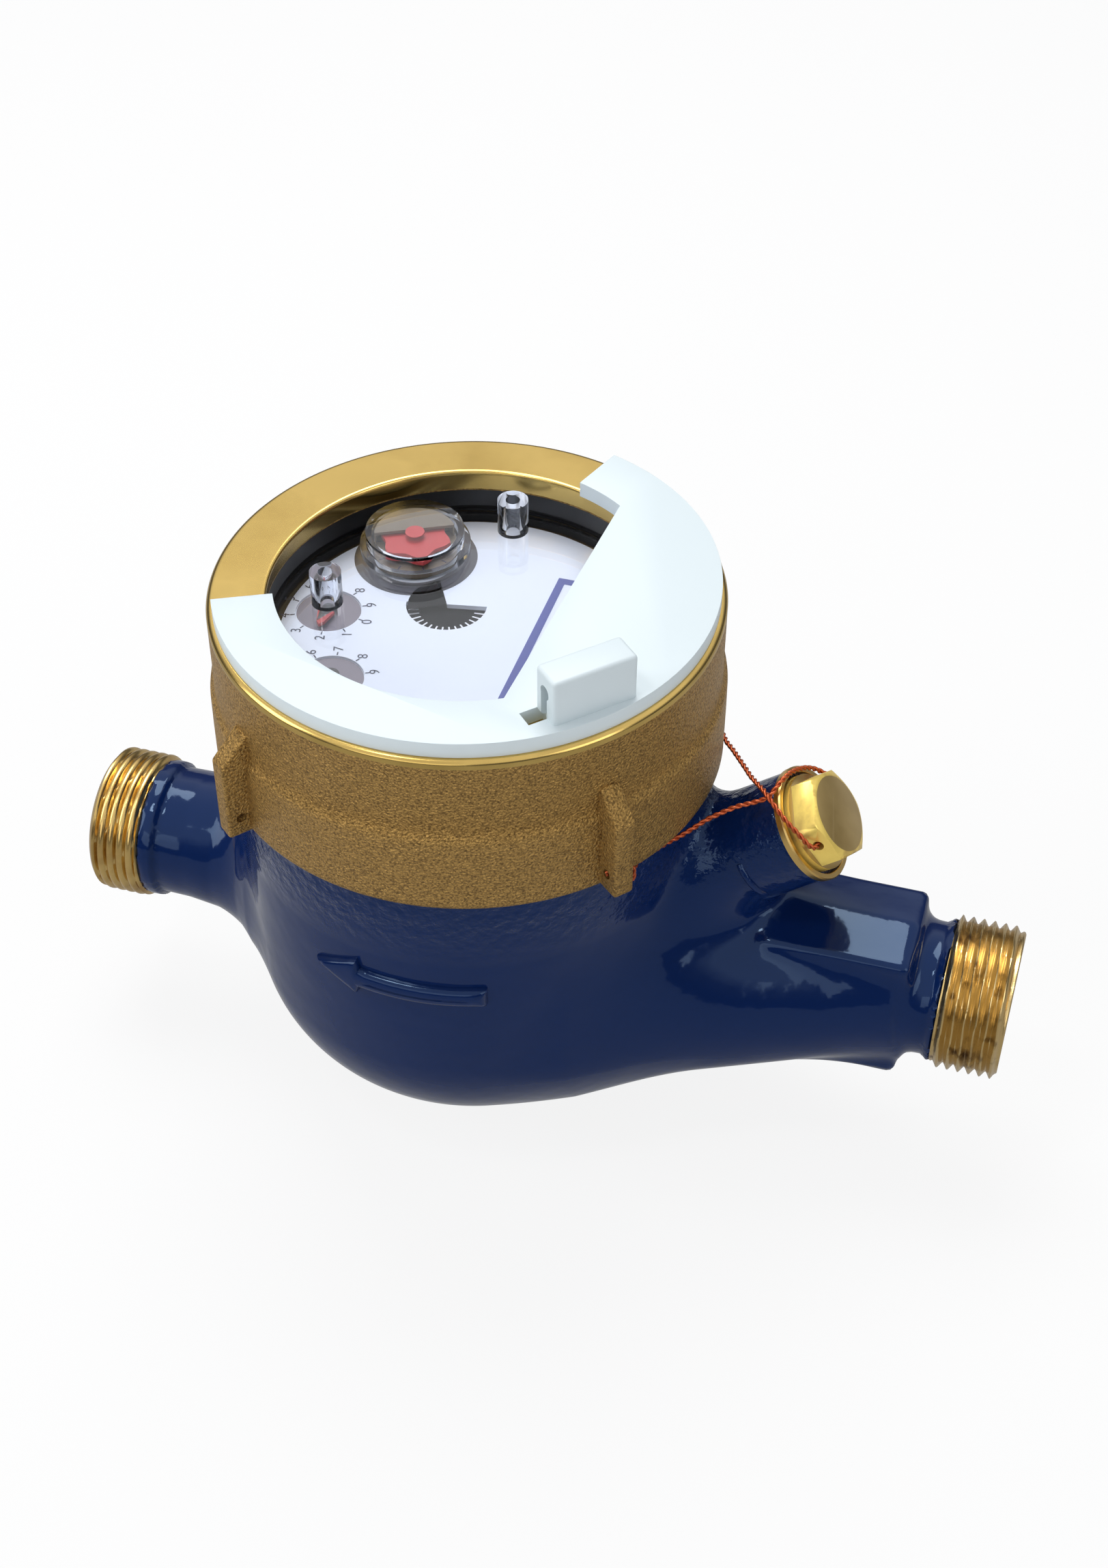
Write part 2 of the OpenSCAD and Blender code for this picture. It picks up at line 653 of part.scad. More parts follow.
// Phases down the train, each from the gear that drives it
shaft_phase = 0;
tick_phase = mesh_phase(pinion_n, shaft_phase, star_angle, third_n);
star_phase = mesh_phase(third_n, tick_phase, star_angle, star_n);
transfer_phase = mesh_phase(pinion_n, 0, dir_of(tick_at, transfer_at), tenth_n);
pointer_phase = [mesh_phase(pinion_n, 0, dir_of(transfer_at, pointers_at[0]), tenth_n),
    for (i = [0:2]) mesh_phase(pinion_n, 0, dir_of(idlers_at[i], pointers_at[i + 1]), tenth_n)];
idler_phase = [for (i = [0:2]) mesh_phase(pinion_n, 0, dir_of(pointers_at[i], idlers_at[i]), third_n)];
// Gear levels of each pointer and idler: wheel, then pinion
pointer_levels = [[2, 3], [4, 2], [3, 4], [2, -1]];
idler_levels = [[3, 4], [2, 3], [4, 2]];

pivot_z = case_z + 0.5;
module arbor(top) { translate([0, 0, pivot_z]) cylinder(h = top - pivot_z, r = arbor_r); }
module pinion(level) { gear(pinion_n, 0, level); }
pointer_z = dial_top + 0.2;
pointer_t = 0.6;
module pointer_hand() {
    translate([0, 0, pointer_z]) {
        cylinder(h = pointer_t, r = arbor_r + 0.7);
        linear_extrude(height = pointer_t)
            polygon([[-1.4, -1], [-0.6, -subdial_r + 1.4], [0, -subdial_r + 0.7],
                [0.6, -subdial_r + 1.4], [1.4, -1]]);
    }
}
module pointer_arbor(i) {
    translate([pointers_at[i][0], pointers_at[i][1], 0]) {
        arbor(pointer_z + pointer_t);
        gear(tenth_n, pointer_phase[i], pointer_levels[i][0]);
        if (pointer_levels[i][1] >= 0) pinion(pointer_levels[i][1]);
        pointer_hand();
    }
}
module pointer_1() { color([0.78, 0.16, 0.14]) pointer_arbor(0); }
module pointer_2() { color([0.78, 0.16, 0.14]) pointer_arbor(1); }
module pointer_3() { color([0.78, 0.16, 0.14]) pointer_arbor(2); }
module pointer_4() { color([0.78, 0.16, 0.14]) pointer_arbor(3); }
module idler(i) {
    color([0.9, 0.88, 0.8]) translate([idlers_at[i][0], idlers_at[i][1], 0]) {
        arbor(plate_z + plate_t);
        gear(third_n, idler_phase[i], idler_levels[i][0]);
        pinion(idler_levels[i][1]);
    }
}
module idler_1() { idler(0); }
module idler_2() { idler(1); }
module idler_3() { idler(2); }
module transfer_arbor() {
    color([0.9, 0.88, 0.8]) translate([transfer_at[0], transfer_at[1], 0]) {
        arbor(plate_z + plate_t);
        gear(tenth_n, transfer_phase, 1);
        pinion(2);
    }
}
disc_t = 0.6;
module tick_disc() {
    color([0.12, 0.13, 0.16]) translate([tick_at[0], tick_at[1], 0]) {
        arbor(dial_z - play);
        gear(third_n, tick_phase, 0);
        pinion(1);
        translate([0, 0, dial_z - play - disc_t]) cylinder(h = disc_t, r = tick_r);
    }
}
star_lobes = 6;
module star_pointer() {
    color([0.8, 0.2, 0.18]) translate([star_at[0], star_at[1], 0]) {
        arbor(star_z + star_t);
        gear(star_n, star_phase, 0);
        translate([0, 0, star_z]) linear_extrude(height = star_t)
            polygon([for (a = [0:6:354]) (star_r * (0.72 + 0.28 * cos(star_lobes * a))) * [cos(a), sin(a)]]);
    }
}
pillar_angles = [-5, 75, 153];
pillar_x = 27.4;
pillar_r = 1.5;
plate_r = spacer_r;
ear_t = 1.6;
axle_z = dial_z - number_r - 0.5;
axle_r = 0.9;
axle_y = wheels_y - 0.4;
ears_y = [axle_y - ear_t, axle_y + wheels_l + 0.4];
module gear_plate() {
    color([0.8, 0.8, 0.82]) difference() {
        union() {
            translate([0, 0, plate_z]) cylinder(h = plate_t, r = plate_r);
            for (y = ears_y) translate([number_x - 1.6, y, plate_z])
                cube([3.2, ear_t, axle_z - plate_z + 1.6]);
        }
        for (a = arbor_places) translate([a[0], a[1], plate_z - cut])
            cylinder(h = plate_t + 2 * cut, r = arbor_r + running);
        translate([number_x, axle_y - 2 * ear_t, axle_z]) rotate([-90, 0, 0])
            cylinder(h = wheels_l + 6 * ear_t, r = axle_r + 0.02);
    }
}
module plate_pillars() {
    color([0.72, 0.55, 0.28])
        for (a = pillar_angles)
            translate([pillar_x * cos(a), pillar_x * sin(a), floor_z])
                cylinder(h = plate_z - floor_z, r = pillar_r);
}
module number_wheels() {
    color([0.15, 0.15, 0.17])
        for (i = [0:4]) translate([number_x, wheels_y + i * (number_w + 0.4), axle_z]) rotate([-90, 0, 0])
            difference() {
                cylinder(h = number_w, r = number_r);
                translate([0, 0, -cut]) cylinder(h = number_w + 2 * cut, r = axle_r + running);
            }
}
module number_axle() {
    color([0.7, 0.7, 0.72]) translate([number_x, ears_y[0], axle_z]) rotate([-90, 0, 0])
        cylinder(h = ears_y[1] - ears_y[0] + ear_t, r = axle_r);
}

// Measuring chamber with its impeller
chamber_z = seat_z - chamber_depth;
chamber_in_r = chamber_r - chamber_wall;
chamber_floor = chamber_z + chamber_wall;
module jets(z, r) {
    for (i = [0:jet_count - 1]) rotate(i * 360 / jet_count)
        translate([chamber_in_r * 0.72, 0, z]) rotate([-90, 0, 0]) cylinder(h = chamber_r, r = r);
}
jet_z = chamber_floor + jet_r + 3;
outlet_jet_z = seat_z + chamber_rise * 0.55;
module chamber_cup() {
    color([0.88, 0.88, 0.84]) difference() {
        union() {
            translate([0, 0, chamber_z]) cylinder(h = chamber_depth + chamber_rise, r = chamber_r);
            translate([0, 0, seat_z]) cylinder(h = flange_t, r = well_r - fit);
        }
        translate([0, 0, chamber_floor]) cylinder(h = chamber_depth + chamber_rise, r = chamber_in_r);
        jets(jet_z, jet_r);
        jets(outlet_jet_z, outlet_jet_r);
        translate([0, 0, chamber_z - cut]) cylinder(h = chamber_wall + 2 * cut, r = pivot_r);
    }
}
bush_r = 2.6;
shaft_r = 1;
module chamber_lid() {
    color([0.86, 0.86, 0.82]) difference() {
        union() {
            translate([0, 0, lid_z]) cylinder(h = lid_t, r = well_r - fit);
            translate([0, 0, lid_z - 2]) cylinder(h = 2 + cut, r = chamber_in_r - fit);
        }
        translate([0, 0, lid_z - 2 - cut]) cylinder(h = lid_t + 2 + 2 * cut, r = bush_r);
    }
}
module shaft_bush() {
    color([0.7, 0.15, 0.2]) difference() {
        translate([0, 0, lid_z - 2]) cylinder(h = lid_t + 2, r = bush_r);
        translate([0, 0, lid_z - 2 - cut]) cylinder(h = lid_t + 2 + 2 * cut, r = shaft_r + running);
    }
}
impeller_z = chamber_floor + 1;
impeller_top = lid_z - 2 - 1.2;
blade_h = (impeller_top - impeller_z) * 0.72;
pivot_tip = impeller_z + 8;
module impeller() {
    color([0.92, 0.92, 0.9]) difference() {
        union() {
            translate([0, 0, impeller_z]) cylinder(h = impeller_top - impeller_z, r = hub_r);
            for (i = [0:blade_count - 1]) rotate(i * 360 / blade_count)
                translate([0, -blade_t / 2, impeller_z + 0.4]) cube([blade_r, blade_t, blade_h]);
        }
        translate([0, 0, impeller_z - cut])
            cylinder(h = pivot_tip + running - impeller_z + cut, r = pivot_r + running);
        translate([0, 0, impeller_top - 6]) cylinder(h = 6 + cut, r = shaft_r);
    }
}
module impeller_shaft() {
    color([0.75, 0.75, 0.77]) union() {
        translate([0, 0, impeller_top - 6]) cylinder(h = level_z - impeller_top + 6 + gear_w, r = shaft_r);
        pinion(0);
    }
}
module pivot_pin() {
    color([0.7, 0.7, 0.72]) translate([0, 0, chamber_z]) cylinder(h = pivot_tip - chamber_z, r = pivot_r);
}

// Thimble strainer pushed into the inlet
strainer_l = 24;
strainer_r = bore_r - fit;
strainer_wall = 0.9;
slot_count = 8;
module inlet_strainer() {
    color([0.9, 0.9, 0.86]) difference() {
        along_x(inlet_reach - strainer_l) cylinder(h = strainer_l - 1, r = strainer_r);
        along_x(inlet_reach - strainer_l + strainer_wall)
            cylinder(h = strainer_l, r = strainer_r - strainer_wall);
        for (i = [0:slot_count - 1]) along_x(inlet_reach - strainer_l + 2.5) rotate(i * 360 / slot_count)
            translate([strainer_r - 2, -0.7, 0]) cube([4, 1.4, strainer_l - 9]);
        for (i = [0:5]) along_x(inlet_reach - strainer_l - cut) rotate(i * 60) translate([3.4, 0, 0])
            cylinder(h = strainer_wall + 2 * cut, r = 1);
    }
}

// Twisted seal wire: rear lug, round the ring, through the plug, back over it and on to the front lug
wire_r = 0.45;
wire_sides = 8;
// Along the ring a point is an angle, its distance out from the ring and its height above the lower rim
function by_ring(p) = [(ring_r + p[1]) * cos(p[0]), (ring_r + p[1]) * sin(p[0]), ring_z + p[2]];
wire_rear = [
    [51.4, 1.5, 3.6], [49, 1.5, 3.6], [46.1, 1.6, 3.6], [44.8, 1.75, 2.5], [44.7, 1.8, 0.9],
    [44.4, 1.1, -0.8], [42.6, 0, -1.2], [39.6, -1, -0.95], [35.6, -1.4, -0.85], [31.5, -1.4, -0.85],
    [27.4, -1.4, -0.85], [23.4, -1.2, -0.9], [19.4, -0.5, -1.05], [16.4, 0.2, -0.95], [13.8, 0.5, -0.6]
];
wire_plug = [
    [42.9, 8, 72.1], [44.2, 5.9, 72.6], [46, 3.1, 73.2], [47.7, 0.3, 73.8], [49.2, -1.9, 74.6],
    [50.7, -4.1, 75.4], [52.2, -6.2, 75.6], [53.8, -7.4, 74.7], [55.4, -8.1, 73.4], [56.8, -8.3, 72.2],
    [58.2, -8.5, 71], [59.6, -8.6, 69.5], [60.5, -7.9, 68.6], [60.77, -6, 68.44], [60.77, -3, 68.44],
    [60.77, 0, 68.44], [60.77, 3, 68.44], [60.77, 6, 68.44], [60.6, 7.9, 68.5], [59.5, 9, 69.1],
    [58, 8.8, 70.1], [56.6, 7.8, 71.4], [55.4, 5.9, 72.9], [54.4, 3.4, 74.3], [53.7, 1.1, 75.3],
    [53.2, -0.9, 75.8], [52.5, -2.7, 75.5], [51.7, -4.6, 74.5], [49.6, -5.8, 74], [47.2, -6.8, 73.5],
    [45.1, -8, 72.7]
];
wire_front = [
    [-12.4, 2, -0.1], [-14.6, 1.1, -0.5], [-16.8, 0.45, -0.75], [-19.9, -0.35, -0.95],
    [-23.5, -1.1, -0.9], [-27.7, -1.4, -0.85], [-31.6, -1.4, -0.85], [-34, -0.8, -1],
    [-35.9, 0.4, -1.2], [-36.6, 1.5, -0.4], [-36.7, 1.8, 0.9], [-36.8, 1.75, 2.5], [-38.1, 1.6, 3.6],
    [-41, 1.5, 3.6], [-43.4, 1.5, 3.6]
];
wire_route = concat([for (p = wire_rear) by_ring(p)], wire_plug, [for (p = wire_front) by_ring(p)]);
function unit(v) = v / norm(v);
wire_n = len(wire_route);
wire_dirs = [for (i = [0:wire_n - 1])
    unit(wire_route[min(i + 1, wire_n - 1)] - wire_route[max(i - 1, 0)])];
function square_to(v, d) = unit(v - (v * d) * d);
function wire_sides_at(i, v) = i >= wire_n ? [] :
    let (s = square_to(v, wire_dirs[i])) concat([s], wire_sides_at(i + 1, s));
wire_up = wire_sides_at(0, [0, 0, 1]);
wire_points = [for (i = [0:wire_n - 1], k = [0:wire_sides - 1])
    wire_route[i] + wire_r * (cos(k * 360 / wire_sides) * wire_up[i]
        + sin(k * 360 / wire_sides) * cross(wire_dirs[i], wire_up[i]))];
function wire_id(i, k) = i * wire_sides + k % wire_sides;
wire_faces = concat(
    [[for (k = [0:wire_sides - 1]) wire_id(0, k)]],
    [for (i = [0:wire_n - 2], k = [0:wire_sides - 1])
        [wire_id(i, k), wire_id(i + 1, k), wire_id(i + 1, k + 1)]],
    [for (i = [0:wire_n - 2], k = [0:wire_sides - 1])
        [wire_id(i, k), wire_id(i + 1, k + 1), wire_id(i, k + 1)]],
    [[for (k = [wire_sides - 1:-1:0]) wire_id(wire_n - 1, k)]]);
module seal_wire() { color([0.62, 0.22, 0.13]) polyhedron(points = wire_points, faces = wire_faces); }

body();
head_ring();
label_ring();
regulating_plug();
plug_washer();
regulating_screw();
seal_wire();
clamp_ring();
register_cover();
cover_gasket();
register_case();
dial_plate();
star_dial();
star_pointer();
tick_disc();
transfer_arbor();
pointer_1();
pointer_2();
pointer_3();
pointer_4();
idler_1();
idler_2();
idler_3();
gear_plate();
plate_pillars();
number_wheels();
number_axle();
chamber_cup();
chamber_lid();
shaft_bush();
impeller();
impeller_shaft();
pivot_pin();
inlet_strainer();
dial_spacer();
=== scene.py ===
"""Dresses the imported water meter: cast and painted skin, threads, brass ring, register, seal wire and studio."""
import logging
import math
from dataclasses import dataclass
from enum import Enum
from typing import Any, Iterable, Sequence

import bmesh
import bpy
import numpy as np
from mathutils import Matrix, Vector


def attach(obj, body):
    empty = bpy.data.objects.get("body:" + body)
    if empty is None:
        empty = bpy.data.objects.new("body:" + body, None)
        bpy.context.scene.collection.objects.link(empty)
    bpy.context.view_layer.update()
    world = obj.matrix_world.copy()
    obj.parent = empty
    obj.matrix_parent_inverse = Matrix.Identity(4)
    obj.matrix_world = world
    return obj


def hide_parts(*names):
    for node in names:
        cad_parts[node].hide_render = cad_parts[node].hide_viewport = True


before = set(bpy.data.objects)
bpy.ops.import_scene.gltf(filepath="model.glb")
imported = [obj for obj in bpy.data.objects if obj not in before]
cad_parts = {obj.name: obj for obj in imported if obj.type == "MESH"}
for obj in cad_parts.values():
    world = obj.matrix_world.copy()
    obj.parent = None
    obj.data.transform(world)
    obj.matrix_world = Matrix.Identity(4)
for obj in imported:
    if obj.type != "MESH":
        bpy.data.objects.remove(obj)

LOG = logging.getLogger("meter")
MM = 0.001
TURN = 2 * math.pi
AXIS_Z = 34.5  # the pipe axis above the rest pad
BOSS_SLOPE = math.radians(38.0)
INK_THICK = 0.04
Array = np.ndarray
Thing = bpy.types.Object
Material = bpy.types.Material
Node = bpy.types.Node
Socket = bpy.types.NodeSocket
Pair = tuple[float, float]
Triple = tuple[float, float, float]
Shape = tuple[Array, Iterable[Sequence[int]]]


class Body(str, Enum):
    """The rigid bodies that pieces of this scene ride on."""

    METER = "meter"
    TICK = "tick_arbor"
    STAR = "star_arbor"


class Slot(str, Enum):
    """The record's material slots, one named by each finish."""

    PAINT = "navy_paint"
    CAST = "cast_brass"
    TURNED = "turned_brass"
    STEEL = "steel"
    WHITE = "white_plastic"
    NATURAL = "natural_plastic"
    BLACK = "black_plastic"
    BEIGE = "beige_plastic"
    RED = "red_plastic"
    DIAL = "dial_face"
    RUBBER = "rubber"
    WIRE = "copper_wire"


class Crest(Enum):
    """How the crests of a pipe thread are shaped."""

    SHARP = "sharp"
    ROUND = "round"


@dataclass(frozen=True)
class Grain:
    """A noise bump: how fine it is, how much it shows, how deep it is and above which height, in metres."""

    scale: float
    strength: float
    depth: float
    detail: float = 3.0
    above: float | None = None


@dataclass(frozen=True)
class Finish:
    """The look of one surface. A blotch is a second colour that a noise mixes in."""

    name: str
    slot: Slot
    color: Triple
    metallic: float = 0.0
    roughness: float = 0.5
    specular: float = 0.5
    grains: tuple[Grain, ...] = ()
    blotch: Triple | None = None
    blotch_scale: float = 60.0
    blotch_from: float = 0.45
    blotch_to: float = 0.75
    rough_spread: float = 0.0
    tint: Triple = (1.0, 1.0, 1.0)


PAINT = Finish("paint", Slot.PAINT, (0.0028, 0.0135, 0.074), 0.0, 0.08, 0.4,
               (Grain(95.0, 0.22, 0.001, 2.0), Grain(300.0, 0.12, 0.0004, 2.0),
                Grain(520.0, 0.75, 0.0007, 3.0, 0.056)), tint=(0.5, 0.72, 1.0))
CAST = Finish("cast_brass", Slot.CAST, (0.5, 0.298, 0.087), 0.75, 0.38, 0.5,
              (Grain(2600.0, 1.0, 0.0006), Grain(700.0, 0.35, 0.0004)),
              (0.2, 0.115, 0.033), 2700.0, 0.42, 0.66, 0.16)
POLISHED = Finish("polished_brass", Slot.CAST, (0.66, 0.46, 0.145), 1.0, 0.2, 0.5,
                  (Grain(260.0, 0.05, 0.0002, 2.0),), (0.5, 0.34, 0.1), 70.0, 0.42, 0.7, 0.08)
THREAD = Finish("thread_brass", Slot.PAINT, (0.66, 0.46, 0.17), 1.0, 0.24, 0.5,
                (Grain(700.0, 0.08, 0.0002),), (0.34, 0.19, 0.06), 120.0, 0.5, 0.8)
STAINED = Finish("stained_brass", Slot.PAINT, (0.62, 0.45, 0.2), 1.0, 0.27, 0.5,
                 (Grain(900.0, 0.12, 0.0002, 4.0),), (0.2, 0.12, 0.05), 260.0, 0.55, 0.7)
RIM = Finish("rim_brass", Slot.PAINT, (0.7, 0.47, 0.16), 1.0, 0.3, 0.5, (Grain(700.0, 0.1, 0.0002),))
FACET = Finish("facet_brass", Slot.TURNED, (1.0, 0.73, 0.17), 0.45, 0.3, 0.5,
               (Grain(800.0, 0.12, 0.0002),), (0.36, 0.2, 0.06), 170.0, 0.5, 0.75)
FACE = Finish("turned_face", Slot.TURNED, (0.56, 0.4, 0.16), 0.7, 0.34, 0.5,
              (Grain(500.0, 0.05, 0.0002),), (0.4, 0.27, 0.09), 90.0, 0.35, 0.7)
LABEL = Finish("label_white", Slot.WHITE, (0.68, 0.76, 0.79), 0.0, 0.42, 0.4, (Grain(600.0, 0.03, 0.0002),))
BLACK = Finish("black_plastic", Slot.BLACK, (0.008, 0.008, 0.009), 0.0, 0.4)
DIAL = Finish("dial_face", Slot.DIAL, (0.82, 0.86, 0.95))
INK = Finish("dial_ink", Slot.DIAL, (0.03, 0.035, 0.07), 0.0, 0.6)
BLUE_INK = Finish("blue_ink", Slot.DIAL, (0.028, 0.045, 0.27))
WHITE_INK = Finish("white_ink", Slot.DIAL, (0.85, 0.85, 0.88), 0.0, 0.6)
SHADE = Finish("subdial_grey", Slot.DIAL, (0.2, 0.17, 0.2))
WELL = Finish("dial_well", Slot.DIAL, (0.045, 0.043, 0.055))
HUB = Finish("pointer_hub", Slot.RED, (0.02, 0.015, 0.015), 0.0, 0.4)
RED = Finish("red_plastic", Slot.RED, (0.5, 0.025, 0.025), 0.0, 0.35)
BEIGE = Finish("beige_plastic", Slot.BEIGE, (0.15, 0.115, 0.075))
TICK = Finish("tick_black", Slot.BLACK, (0.004, 0.004, 0.005), 0.0, 0.7, 0.1)
NATURAL = Finish("natural_plastic", Slot.NATURAL, (0.78, 0.76, 0.68), 0.0, 0.45)
STEEL = Finish("steel", Slot.STEEL, (0.6, 0.6, 0.62), 1.0, 0.3)
RUBBER = Finish("rubber", Slot.RUBBER, (0.012, 0.012, 0.012), 0.0, 0.7)
WIRE = Finish("copper_wire", Slot.WIRE, (0.5, 0.105, 0.035), 0.75, 0.33)
PLAIN_BRASS = Finish("plain_brass", Slot.TURNED, (0.7, 0.47, 0.16), 1.0, 0.3)
FLOOR = Finish("floor", Slot.WHITE, (0.8, 0.8, 0.8), 0.0, 0.8)


class Wiring:
    """Adds and joins the nodes of one tree."""

    def __init__(self, tree: bpy.types.NodeTree) -> None:
        """Keeps the tree.

        Args:
            tree: The tree to work on.
        """
        self.tree = tree

    def feed(self, node: Node, inputs: dict[str | int, Any]) -> None:
        """Sets or joins inputs of a node.

        Args:
            node: The node.
            inputs: A plain value or another node's output for each input.
        """
        for key, value in inputs.items():
            if isinstance(value, Socket):
                self.tree.links.new(value, node.inputs[key])
            else:
                node.inputs[key].default_value = value

    def add(self, kind: str, inputs: dict[str | int, Any] | None = None, operation: str = "") -> Node:
        """Adds a node.

        Args:
            kind: The node's type.
            inputs: What goes into its inputs.
            operation: The sum of a maths node.

        Returns:
            The new node.
        """
        node = self.tree.nodes.new(kind)
        if operation:
            node.operation = operation
        self.feed(node, inputs or {})
        return node


class Paintbox:
    """Makes each finish's material once."""

    def __init__(self) -> None:
        """Starts with no materials."""
        self._made: dict[str, Material] = {}

    def get(self, finish: Finish) -> Material:
        """Gives the material of a finish.

        Args:
            finish: The look that is wanted.

        Returns:
            The shared material.
        """
        if finish.name not in self._made:
            self._made[finish.name] = self._build(finish)
        return self._made[finish.name]

    def clear(self) -> Material:
        """Makes the clear plastic, which lets shadow and diffuse rays straight through.

        Returns:
            The new material.
        """
        material, wiring, bsdf = self._empty("clear_plastic")
        wiring.feed(bsdf, {"Base Color": (0.93, 0.95, 0.99, 1.0), "Roughness": 0.015, "IOR": 1.45,
                           "Specular IOR Level": 0.15, "Transmission Weight": 1.0})
        path = wiring.add("ShaderNodeLightPath").outputs
        through = wiring.add("ShaderNodeBsdfTransparent", {"Color": (0.95, 0.96, 0.98, 1.0)}).outputs[0]
        rays = wiring.add("ShaderNodeMath", {0: path["Is Shadow Ray"], 1: path["Is Diffuse Ray"]}, "MAXIMUM")
        mix = wiring.add("ShaderNodeMixShader", {"Fac": rays.outputs[0], 1: bsdf.outputs[0], 2: through})
        wiring.feed(wiring.tree.nodes["Material Output"], {"Surface": mix.outputs[0]})
        return material

    @staticmethod
    def _empty(name: str) -> tuple[Material, Wiring, Node]:
        """Starts a material.

        Args:
            name: Its name.

        Returns:
            The material, its wiring and its shader.
        """
        material = bpy.data.materials.new(name)
        material.use_nodes = True
        return material, Wiring(material.node_tree), material.node_tree.nodes["Principled BSDF"]

    def _build(self, finish: Finish) -> Material:
        """Makes the material of a finish.

        Args:
            finish: The look.

        Returns:
            The new material.
        """
        material, wiring, bsdf = self._empty(finish.name)
        wiring.feed(bsdf, {"Base Color": (*finish.color, 1.0), "Metallic": finish.metallic,
                           "Roughness": finish.roughness, "Specular IOR Level": finish.specular,
                           "Specular Tint": (*finish.tint, 1.0)})
        if finish.grains:
            place = wiring.add("ShaderNodeTexCoord").outputs["Object"]
            if finish.blotch is not None:
                self._blotch(wiring, bsdf, place, finish)
            below: dict[str | int, Any] = {}
            for grain in finish.grains:
                below = {"Normal": self._bump(wiring, place, grain, below)}
            wiring.feed(bsdf, below)
        return material

    @staticmethod
    def _noise(wiring: Wiring, place: Socket, scale: float, detail: float) -> Socket:
        """Adds a noise.

        Args:
            wiring: The material's wiring.
            place: The coordinates it reads.
            scale: How fine it is.
            detail: How many finer noises it holds.

        Returns:
            The noise's output.
        """
        return wiring.add("ShaderNodeTexNoise", {"Vector": place, "Scale": scale, "Detail": detail}).outputs["Fac"]

    def _blotch(self, wiring: Wiring, bsdf: Node, place: Socket, finish: Finish) -> None:
        """Mixes the second colour in and spreads the roughness.

        Args:
            wiring: The material's wiring.
            bsdf: Its shader.
            place: The coordinates that the noise reads.
            finish: The look.
        """
        noise = self._noise(wiring, place, finish.blotch_scale, 4.0)
        ramp = wiring.add("ShaderNodeValToRGB", {"Fac": noise})
        low, high = ramp.color_ramp.elements[0], ramp.color_ramp.elements[1]
        low.position, low.color = finish.blotch_from, (*finish.color, 1.0)
        high.position, high.color = finish.blotch_to, (*finish.blotch, 1.0)
        wiring.feed(bsdf, {"Base Color": ramp.outputs["Color"]})
        if finish.rough_spread:
            spread = wiring.add("ShaderNodeMapRange", {
                "Value": noise, "To Min": finish.roughness - finish.rough_spread,
                "To Max": finish.roughness + finish.rough_spread})
            wiring.feed(bsdf, {"Roughness": spread.outputs["Result"]})

    def _bump(self, wiring: Wiring, place: Socket, grain: Grain, below: dict[str | int, Any]) -> Socket:
        """Adds a noise bump.

        Args:
            wiring: The material's wiring.
            place: The coordinates that the noise reads.
            grain: The bump's sizes.
            below: The bump that it lies on, if any.

        Returns:
            The bumped normal.
        """
        height = self._noise(wiring, place, grain.scale, grain.detail)
        if grain.above is not None:
            level = wiring.add("ShaderNodeSeparateXYZ", {0: place}).outputs["Z"]
            fade = wiring.add("ShaderNodeMapRange", {"Value": level, "From Min": grain.above,
                                                     "From Max": grain.above + 0.01}).outputs["Result"]
            height = wiring.add("ShaderNodeMath", {0: fade, 1: height}, "MULTIPLY").outputs[0]
        bump = wiring.add("ShaderNodeBump", {"Strength": grain.strength, "Distance": grain.depth,
                                             "Height": height, **below})
        return bump.outputs["Normal"]


BOX = Paintbox()


